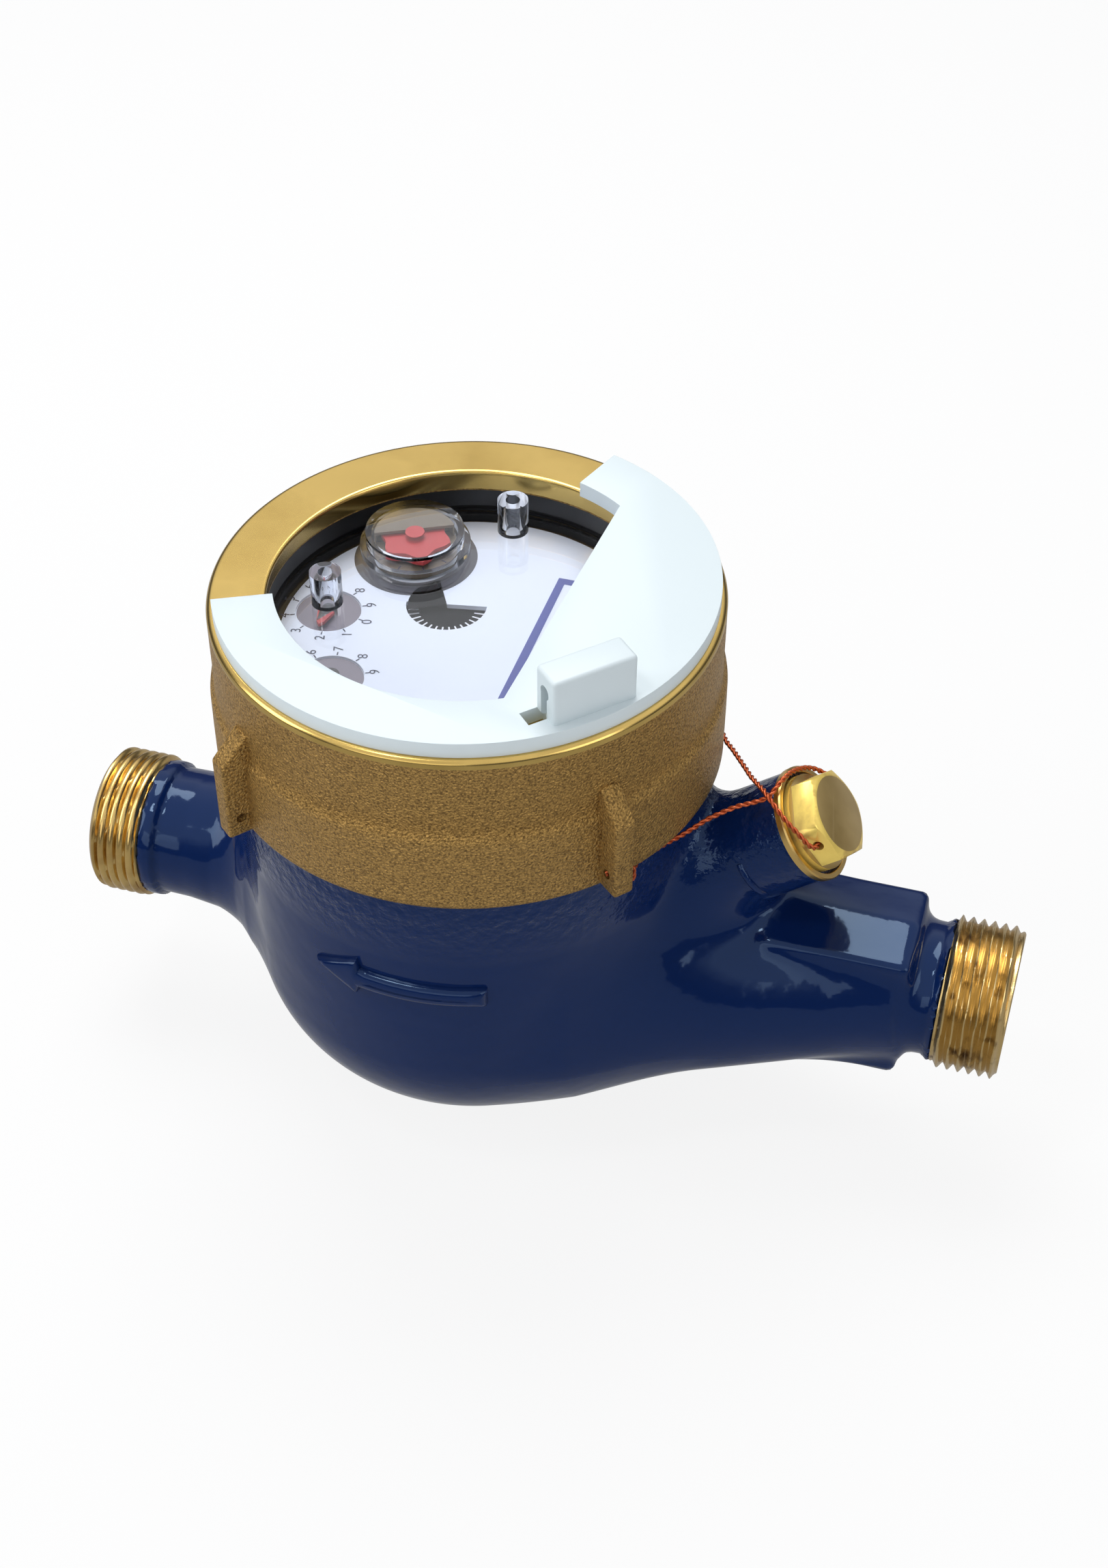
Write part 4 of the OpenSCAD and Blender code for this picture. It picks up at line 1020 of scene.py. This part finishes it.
@dataclass(frozen=True)
class LabelRing:
    """The white label ring with its segment and a hinge block. Boxes are ranges out, along the hinge and up."""

    low: float = 101.8
    high: float = 104.5
    edge_round: float = 0.45
    outer: float = 40.2
    inner: float = 30.5
    start: float = -155.0
    end: float = 70.0
    chord: float = 16.5
    turn: float = -4.4
    slot: tuple[Pair, ...] = ((33.4, 36.4), (-8.4, -4.4), (100, 106))
    block: tuple[Pair, ...] = ((32.9, 38.5), (-5.4, 8.8), (103.9, 112.3))
    block_round: float = 0.7
    pin_slot: tuple[Pair, ...] = ((34.6, 36.4), (-9.0, -1.5), (100, 108.9))
    pin_hole: tuple[Triple, ...] = ((35.7, -9.0, 108.9), (35.7, 1.5, 108.9))
    pin_r: float = 1.2

    def outline(self) -> Array:
        """Gives the label's outline.

        Returns:
            Rows of x and y, counter-clockwise.
        """
        spread = math.degrees(math.acos(self.chord / self.inner))
        return np.vstack([Mesher.arc(self.outer, self.start, self.end, 90),
                          Mesher.arc(self.inner, self.end, self.turn + spread, 8),
                          Mesher.arc(self.inner, self.turn - spread, self.start, 44)])

    @staticmethod
    def by_hinge(points: Array) -> Array:
        """Moves points from the hinge's own frame, with X out from the axis, to the part's frame.

        Args:
            points: Rows of x, y and z in the hinge's frame.

        Returns:
            The points in the part's frame.
        """
        x, y, z = points.T
        return np.c_[math.sqrt(0.5) * (x + y), math.sqrt(0.5) * (y - x), z]

    def boxed(self, name: str, box: Sequence[Pair]) -> Thing:
        """Makes a box in the hinge's frame.

        Args:
            name: Its name.
            box: Its ranges.

        Returns:
            The object.
        """
        (a, b), (c, d), (low, high) = box
        points, faces = Mesher.prism(np.array([[a, c], [b, c], [b, d], [a, d]]), low, high)
        return Mesher.piece(name, (self.by_hinge(points), faces), LABEL, sharp=None)

    def build(self) -> None:
        """Makes the label ring and the hinge block."""
        ring = Mesher.piece("label_plate", Mesher.prism(self.outline(), self.low, self.high), LABEL, sharp=None)
        Mesher.cut(ring, self.boxed("slot", self.slot))
        Mesher.bevel(ring, self.edge_round, 3, 35.0)
        mount(ring, Body.METER, LABEL, "label_ring")
        block = self.boxed("hinge_block", self.block)
        Mesher.bevel(block, self.block_round, 4)
        rod = Mesher.tube(self.by_hinge(np.array(self.pin_hole)), self.pin_r, 24)
        Mesher.cut(block, Mesher.piece("pin_hole", rod, LABEL, sharp=None), self.boxed("pin_slot", self.pin_slot))
        Mesher.smooth(block, 30.0)
        mount(block, Body.METER, LABEL)


@dataclass(frozen=True)
class SealWire:
    """The twisted seal wire, two strands wound round one route."""

    ring_r: float = 42.1
    ring_z: float = 72.1
    rear: tuple[Triple, ...] = (
        (51.4, 1.5, 3.6), (49, 1.5, 3.6), (46.1, 1.6, 3.6), (44.8, 1.75, 2.5), (44.7, 1.8, 0.9), (44.4, 1.1, -0.8),
        (42.6, 0, -1.2), (39.6, -1, -0.95), (35.6, -1.4, -0.85), (31.5, -1.4, -0.85), (27.4, -1.4, -0.85),
        (23.4, -1.2, -0.9), (19.4, -0.5, -1.05), (16.4, 0.2, -0.95), (13.8, 0.5, -0.6))
    plug: tuple[Triple, ...] = (
        (42.9, 8, 72.1), (44.2, 5.9, 72.6), (46, 3.1, 73.2), (47.7, 0.3, 73.8), (49.2, -1.9, 74.6),
        (50.7, -4.1, 75.4), (52.2, -6.2, 75.6), (53.8, -7.4, 74.7), (55.4, -8.1, 73.4), (56.8, -8.3, 72.2),
        (58.2, -8.5, 71), (59.6, -8.6, 69.5), (60.5, -7.9, 68.6), (60.77, -6, 68.44), (60.77, -3, 68.44),
        (60.77, 0, 68.44), (60.77, 3, 68.44), (60.77, 6, 68.44), (60.6, 7.9, 68.5), (59.5, 9, 69.1),
        (58, 8.8, 70.1), (56.6, 7.8, 71.4), (55.4, 5.9, 72.9), (54.4, 3.4, 74.3), (53.7, 1.1, 75.3),
        (53.2, -0.9, 75.8), (52.5, -2.7, 75.5), (51.7, -4.6, 74.5), (49.6, -5.8, 74), (47.2, -6.8, 73.5),
        (45.1, -8, 72.7))
    front: tuple[Triple, ...] = (
        (-12.4, 2, -0.1), (-14.6, 1.1, -0.5), (-16.8, 0.45, -0.75), (-19.9, -0.35, -0.95), (-23.5, -1.1, -0.9),
        (-27.7, -1.4, -0.85), (-31.6, -1.4, -0.85), (-34, -0.8, -1), (-35.9, 0.4, -1.2), (-36.6, 1.5, -0.4),
        (-36.7, 1.8, 0.9), (-36.8, 1.75, 2.5), (-38.1, 1.6, 3.6), (-41, 1.5, 3.6), (-43.4, 1.5, 3.6))
    strand_r: float = 0.24
    wound_r: float = 0.22
    lay: float = 2.6
    step: float = 0.22
    rounds: int = 14

    def by_ring(self, p: Triple) -> Triple:
        """Gives a point beside the ring.

        Args:
            p: Its angle, its distance out from the ring and its height above the ring's lower rim.

        Returns:
            The point in the part's frame.
        """
        a, r = math.radians(p[0]), self.ring_r + p[1]
        return r * math.cos(a), r * math.sin(a), self.ring_z + p[2]

    def build(self) -> None:
        """Makes both strands as one piece."""
        rough = np.array([*map(self.by_ring, self.rear), *self.plug, *map(self.by_ring, self.front)])
        knots = np.r_[0, np.cumsum(np.linalg.norm(np.diff(rough, axis=0), axis=1))]
        fine = np.linspace(0, knots[-1], int(knots[-1] / self.step))
        middle = np.stack([np.interp(fine, knots, rough[:, k]) for k in range(3)], 1)
        for _ in range(self.rounds):
            middle[1:-1] = (middle[:-2] + 2 * middle[1:-1] + middle[2:]) / 4
        up, over = Mesher.carry(middle)
        points, faces, base = [], [], 0
        for start in (0.0, math.pi):
            turn = (start + TURN * fine / self.lay)[:, None]
            strand = middle + self.wound_r * (np.cos(turn) * up + np.sin(turn) * over)
            p, f = Mesher.tube(strand, self.strand_r, 7)
            points.append(p)
            faces += [[base + i for i in q] for q in f]
            base += len(p)
        made = Mesher.piece("twisted_seal_wire", (np.vstack(points), faces), WIRE, sharp=60.0)
        mount(made, Body.METER, WIRE, "seal_wire")


@dataclass(frozen=True)
class Plug:
    """The hexagon plug in the boss."""

    merge: float = 1e-6
    face_from: float = 0.99
    sharp: float = 20.0

    def build(self) -> None:
        """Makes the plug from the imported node, with a turned face and plain facets."""
        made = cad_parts["regulating_plug"].copy()
        made.data = made.data.copy()
        made.name = "hexagon_plug"
        bpy.context.scene.collection.objects.link(made)
        merged = bmesh.new()
        merged.from_mesh(made.data)
        bmesh.ops.remove_doubles(merged, verts=merged.verts, dist=self.merge)
        merged.to_mesh(made.data)
        merged.free()
        made.data.materials.clear()
        made.data.materials.append(BOX.get(FACET))
        made.data.materials.append(BOX.get(FACE))
        out = Vector((math.cos(BOSS_SLOPE), 0, math.sin(BOSS_SLOPE)))
        for polygon in made.data.polygons:
            polygon.material_index = int(polygon.normal.dot(out) > self.face_from)
        Mesher.smooth(made, self.sharp)
        mount(made, Body.METER, FACET, "regulating_plug")


@dataclass(frozen=True)
class Register:
    """The dial with its marks and the register's shown nodes. Bars are radii and half widths, inner and outer."""

    dial_top: float = 91.5
    ink_lift: float = 0.02
    subdials: tuple[Pair, ...] = ((-23.8, 0.0), (-17.687, -15.925))
    subdial_r: float = 5.3
    subdial_sunk: float = 0.39
    subdial_bar: tuple[Pair, Pair] = ((5.55, 0.1), (6.3, 0.1))
    first_angle: float = -9.0
    digit_r: float = 7.15
    digit_size: float = 2.3625
    digit_turn: float = 105.0
    counter_frame: tuple[Pair, ...] = (
        (9.2, -16.5), (10.7, -16.5), (11.2, 17.2), (18.0, 17.2), (18.0, 18.6), (9.9, 18.6))
    star: Pair = (-14.623, 17.427)
    well: Pair = (10.3, 7.0)
    petal: Pair = (5.5, 0.5)
    petal_z: Pair = (95.38, 0.74)
    hub_r: float = 1.6
    hub_z: Pair = (96.92, 0.13)
    scale_bar: tuple[Pair, Pair] = ((5.7, 0.09), (6.6, 0.09))
    scale_z: float = 94.71
    tick: Pair = (-5.785, 6.894)
    tick_bar: tuple[Pair, Pair] = ((4.6, 0.12), (6.3, 0.17))
    tick_z: float = 90.41
    notch_r: float = 6.4
    notch_angles: Pair = (118.0, 208.0)
    wall_angle: float = 190.0
    wall_long: float = 6.3
    wall_across: Pair = (0.02, -0.12)
    wall_z: Pair = (-0.78, 0.8)
    gears_below: float = 0.09
    pointer_hub_r: float = 0.0021

    @staticmethod
    def flat(name: str, outline: Array, z: float, finish: Finish, thick: float = INK_THICK,
             body: Body = Body.METER) -> None:
        """Makes a thin flat shape.

        Args:
            name: Its name.
            outline: Its outline in X and Y.
            z: Height of its underside.
            finish: Its ink.
            thick: Its thickness.
            body: The body it rides on.
        """
        mount(Mesher.piece(name, Mesher.prism(outline, z, z + thick), finish, sharp=None), body, finish)

    @staticmethod
    def bars(copies: RoundCopies, name: str, bar: tuple[Pair, Pair], count: int, first: float, centre: Triple,
             finish: Finish, body: Body = Body.METER) -> None:
        """Sets printed bars around a point.

        Args:
            copies: The tree that sets them.
            name: Name of the piece.
            bar: Radius and half width of the inner and the outer end.
            count: How many bars.
            first: Angle of the first, in degrees.
            centre: The point.
            finish: Their ink.
            body: The body they ride on.
        """
        (near, narrow), (far, wide) = bar
        outline = np.array([(near, -narrow), (far, -wide), (far, wide), (near, narrow)])
        made = Mesher.piece(name, Mesher.prism(outline, 0.0, INK_THICK), finish, sharp=None)
        copies.spread(made, count, first, centre, finish)
        mount(made, body, finish)

    def digits(self, name: str, centre: Pair) -> None:
        """Sets the ten digits around a sub-dial, clockwise.

        Args:
            name: Name of the piece.
            centre: Middle of the sub-dial.
        """
        mesh = bpy.data.meshes.new(name)
        build = bmesh.new()
        upright = Matrix.Rotation(math.radians(self.digit_turn), 4, "Z")
        for digit in range(10):
            curve = bpy.data.curves.new("digit", "FONT")
            curve.body = str(digit)
            curve.size = self.digit_size * MM
            curve.align_x, curve.align_y = "CENTER", "CENTER"
            holder = bpy.data.objects.new("digit", curve)
            bpy.context.scene.collection.objects.link(holder)
            bpy.context.view_layer.update()
            graph = bpy.context.evaluated_depsgraph_get()
            part = bpy.data.meshes.new_from_object(holder.evaluated_get(graph))
            a = math.radians(self.first_angle - 36 * digit)
            spot = Vector((centre[0] + self.digit_r * math.cos(a), centre[1] + self.digit_r * math.sin(a),
                           self.dial_top + 0.05))
            part.transform(Matrix.Translation(spot * MM) @ upright)
            build.from_mesh(part)
            bpy.data.objects.remove(holder)
            bpy.data.meshes.remove(part)
        build.to_mesh(mesh)
        build.free()
        mesh.materials.append(BOX.get(INK))
        made = bpy.data.objects.new(name, mesh)
        bpy.context.scene.collection.objects.link(made)
        mount(made, Body.METER, INK)

    def build(self, copies: RoundCopies) -> None:
        """Makes the dial's marks and dresses the shown nodes.

        Args:
            copies: The tree that sets marks around a point.
        """
        z = self.dial_top + self.ink_lift
        for i, at in enumerate(self.subdials, 1):
            self.bars(copies, f"subdial_ticks_{i}", self.subdial_bar, 10, self.first_angle, (*at, z), INK)
            self.digits(f"subdial_digits_{i}", at)
            self.flat(f"subdial_floor_{i}", Mesher.arc(self.subdial_r, 0, 352.5, 48, at),
                      self.dial_top - self.subdial_sunk, SHADE, 0.03)
        self.flat("counter_frame", np.array(self.counter_frame), z, BLUE_INK)
        outer, inner = self.well
        well = np.vstack([Mesher.arc(outer, 0, 360, 73, self.star), Mesher.arc(inner, 0, -360, 73, self.star)])
        self.flat("star_well", well, z, WELL, 0.02)
        fan = np.vstack([Mesher.arc(self.notch_r, *self.notch_angles, 16, self.tick), self.tick])
        self.flat("tick_notch", fan, z, TICK, 0.02)
        along = Mesher.arc(self.wall_long, self.wall_angle, self.wall_angle, 1)[0]
        across = np.array(self.wall_across)
        wall = np.array(self.tick) + np.array([along, along + across, across, np.zeros(2)])
        self.flat("tick_notch_wall", wall, z + self.wall_z[0], TICK, self.wall_z[1])
        self.bars(copies, "tick_marks", self.tick_bar, 30, 4.0, (*self.tick, self.tick_z), WHITE_INK, Body.TICK)
        lobes = self.petal[0] + self.petal[1] * np.cos(6 * np.radians(np.arange(0.0, 360.0, 4.0)))
        self.flat("star_petals", Mesher.arc(lobes, 0, 356, 90, self.star), self.petal_z[0], RED, self.petal_z[1],
                  Body.STAR)
        self.flat("star_hub", Mesher.arc(self.hub_r, 0, 356, 90, self.star), self.hub_z[0], RED, self.hub_z[1],
                  Body.STAR)
        self.bars(copies, "star_scale", self.scale_bar, 10, 12.0, (*self.star, self.scale_z), INK)
        self.dress()

    def dress(self) -> None:
        """Gives the shown nodes their finishes."""
        looks = {
            BLACK: ("clamp_ring", "register_case", "dial_spacer", "number_wheels"), DIAL: ("dial_plate",),
            BEIGE: ("star_dial",), TICK: ("tick_disc",), RUBBER: ("cover_gasket", "plug_washer"),
            RED: ("star_pointer", "shaft_bush", "pointer_1", "pointer_2", "pointer_3", "pointer_4"),
            PLAIN_BRASS: ("regulating_screw", "plate_pillars"),
            STEEL: ("number_axle", "impeller_shaft", "pivot_pin"),
            NATURAL: ("gear_plate", "transfer_arbor", "chamber_cup", "chamber_lid", "impeller", "inlet_strainer",
                      "idler_1", "idler_2", "idler_3")}
        coats = [(name, BOX.get(finish)) for finish, names in looks.items() for name in names]
        for name, material in coats + [("register_cover", BOX.clear())]:
            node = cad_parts[name]
            node.data.materials.clear()
            node.data.materials.append(material)
            LOG.info("%s is dressed in %s", name, material.name)
        for number in range(1, 5):
            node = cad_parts[f"pointer_{number}"]
            node.data.materials.append(BOX.get(HUB))
            spots = np.array([p.center for p in node.data.polygons])
            gears = spots[spots[:, 2] < self.gears_below]
            middle = (gears.min(0) + gears.max(0)) / 2
            near = np.hypot(spots[:, 0] - middle[0], spots[:, 1] - middle[1]) < self.pointer_hub_r
            node.data.polygons.foreach_set("material_index", near.astype(np.int32))


@dataclass(frozen=True)
class Softbox:
    """One area light: its place and size in metres and its power in watts."""

    name: str
    place: Triple
    size: Pair
    power: float


@dataclass(frozen=True)
class Studio:
    """Camera, lights, world and floor."""

    right: Triple = (0.95201304, 0.30524793, -0.02224575)
    down: Triple = (0.20719665, -0.69629062, -0.68720369)
    ahead: Triple = (-0.22525702, 0.64961763, -0.7261241)
    place: Triple = (95.959, -283.2, 331.431)
    focal_px: float = 3454.42
    centre_px: Pair = (681.253, 1411.622)
    size_px: tuple[int, int] = (1623, 2296)
    sensor: float = 36.0
    aim: Triple = (0.01, 0, 0.05)
    lights: tuple[Softbox, ...] = (
        Softbox("top", (-0.14, 0.3, 0.76), (0.5, 0.42), 4.1),
        Softbox("spark", (-0.2, -0.28, 0.85), (0.14, 0.14), 0.8),
        Softbox("left", (-0.75, -0.3, 0.45), (0.4, 0.5), 2.3),
        Softbox("front", (-0.1, -0.8, 0.32), (0.7, 0.3), 0.95),
        Softbox("right", (0.8, -0.35, 0.4), (0.4, 0.5), 1.3),
    )
    sky: tuple[float, ...] = (0.93, 0.96, 1.0, 1.0)
    sky_strength: float = 0.36
    ceiling_steps: tuple[tuple[float, Triple], ...] = (
        (0.1, (0.09, 0.09, 0.1)), (0.3, (0.2, 0.2, 0.21)), (0.5, (0.95, 0.96, 0.98)))
    floor_half: float = 900.0
    floor_z: float = -0.05
    floor_rays: tuple[tuple[str, float, float], ...] = (  # ray, share and strength
        ("Is Camera Ray", 0.86, 1.0), ("Is Glossy Ray", 0.85, 0.42), ("Is Transmission Ray", 0.86, 1.0))

    def build(self) -> None:
        """Makes the studio."""
        self.camera()
        for light in self.lights:
            self.light(light)
        self.world()
        self.floor()
        bpy.context.scene.view_settings.view_transform = "Standard"

    def camera(self) -> None:
        """Makes the photograph's camera."""
        wide, high = self.size_px
        data = bpy.data.cameras.new("camera")
        data.sensor_width = self.sensor
        data.lens = self.focal_px * self.sensor / high
        data.shift_x = (wide / 2 - self.centre_px[0]) / high
        data.shift_y = (self.centre_px[1] - high / 2) / high
        data.clip_start, data.clip_end = 0.01, 20.0
        made = bpy.data.objects.new("camera", data)
        turn = Matrix((self.right, [-v for v in self.down], [-v for v in self.ahead])).transposed()
        made.matrix_world = Matrix.Translation([v * MM for v in self.place]) @ turn.to_4x4()
        bpy.context.scene.collection.objects.link(made)
        bpy.context.scene.camera = made

    def light(self, box: Softbox) -> None:
        """Makes one softbox.

        Args:
            box: Its place, size and power.
        """
        data = bpy.data.lights.new(box.name, "AREA")
        data.shape = "RECTANGLE"
        data.size, data.size_y = box.size
        data.energy = box.power
        made = bpy.data.objects.new(box.name, data)
        made.location = box.place
        made.rotation_euler = (Vector(self.aim) - Vector(box.place)).to_track_quat("-Z", "Y").to_euler()
        bpy.context.scene.collection.objects.link(made)

    def world(self) -> None:
        """Makes a soft grey world, with a bright ceiling in reflections, that the camera sees as white."""
        world = bpy.data.worlds.new("studio")
        world.use_nodes = True
        bpy.context.scene.world = world
        world.node_tree.nodes.clear()
        wiring = Wiring(world.node_tree)
        path = wiring.add("ShaderNodeLightPath").outputs
        shown = wiring.add("ShaderNodeBackground", {"Color": self.sky, "Strength": self.sky_strength}).outputs[0]
        ceiling = self.ceiling(wiring)
        for ray, color in (("Is Glossy Ray", ceiling), ("Is Transmission Ray", ceiling),
                           ("Is Camera Ray", (1.0, 1.0, 1.0, 1.0))):
            seen = wiring.add("ShaderNodeBackground", {"Color": color, "Strength": 1.0}).outputs[0]
            shown = wiring.add("ShaderNodeMixShader", {"Fac": path[ray], 1: shown, 2: seen}).outputs[0]
        wiring.add("ShaderNodeOutputWorld", {"Surface": shown})

    def ceiling(self, wiring: Wiring) -> Socket:
        """Makes reflections bright overhead and dim towards the walls.

        Args:
            wiring: The world's wiring.

        Returns:
            The colour that reflections see.
        """
        way = wiring.add("ShaderNodeTexCoord").outputs["Generated"]
        height = wiring.add("ShaderNodeSeparateXYZ", {0: way}).outputs["Z"]
        ramp = wiring.add("ShaderNodeValToRGB", {"Fac": height})
        low, knee, high = self.ceiling_steps
        steps = ramp.color_ramp.elements
        steps[0].position, steps[0].color = low[0], (*low[1], 1.0)
        steps[1].position, steps[1].color = high[0], (*high[1], 1.0)
        steps.new(knee[0]).color = (*knee[1], 1.0)
        return ramp.outputs["Color"]

    def floor(self) -> None:
        """Makes the pale floor that takes the shadow and stays dark in the paint's reflections."""
        half, z = self.floor_half, self.floor_z
        points = np.array([[-half, -half, z], [half, -half, z], [half, half, z], [-half, half, z]])
        made = Mesher.piece("floor", (points, [[0, 1, 2, 3]]), FLOOR, sharp=None)
        wiring = Wiring(made.data.materials[0].node_tree)
        path = wiring.add("ShaderNodeLightPath").outputs
        shown = wiring.tree.nodes["Principled BSDF"].outputs[0]
        for ray, share, strength in self.floor_rays:
            glow = wiring.add("ShaderNodeEmission", {"Strength": strength}).outputs[0]
            part = wiring.add("ShaderNodeMath", {0: path[ray], 1: share}, "MULTIPLY").outputs[0]
            shown = wiring.add("ShaderNodeMixShader", {"Fac": part, 1: shown, 2: glow}).outputs[0]
        wiring.feed(wiring.tree.nodes["Material Output"], {"Surface": shown})


def main() -> None:
    """Builds the meter and the studio in order."""
    logging.basicConfig(level=logging.INFO)
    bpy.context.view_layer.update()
    copies = RoundCopies()
    CastBody().build()
    HeadRing().build(copies)
    LabelRing().build()
    SealWire().build()
    Plug().build()
    Register().build(copies)
    Studio().build()


if __name__ == "__main__":
    main()
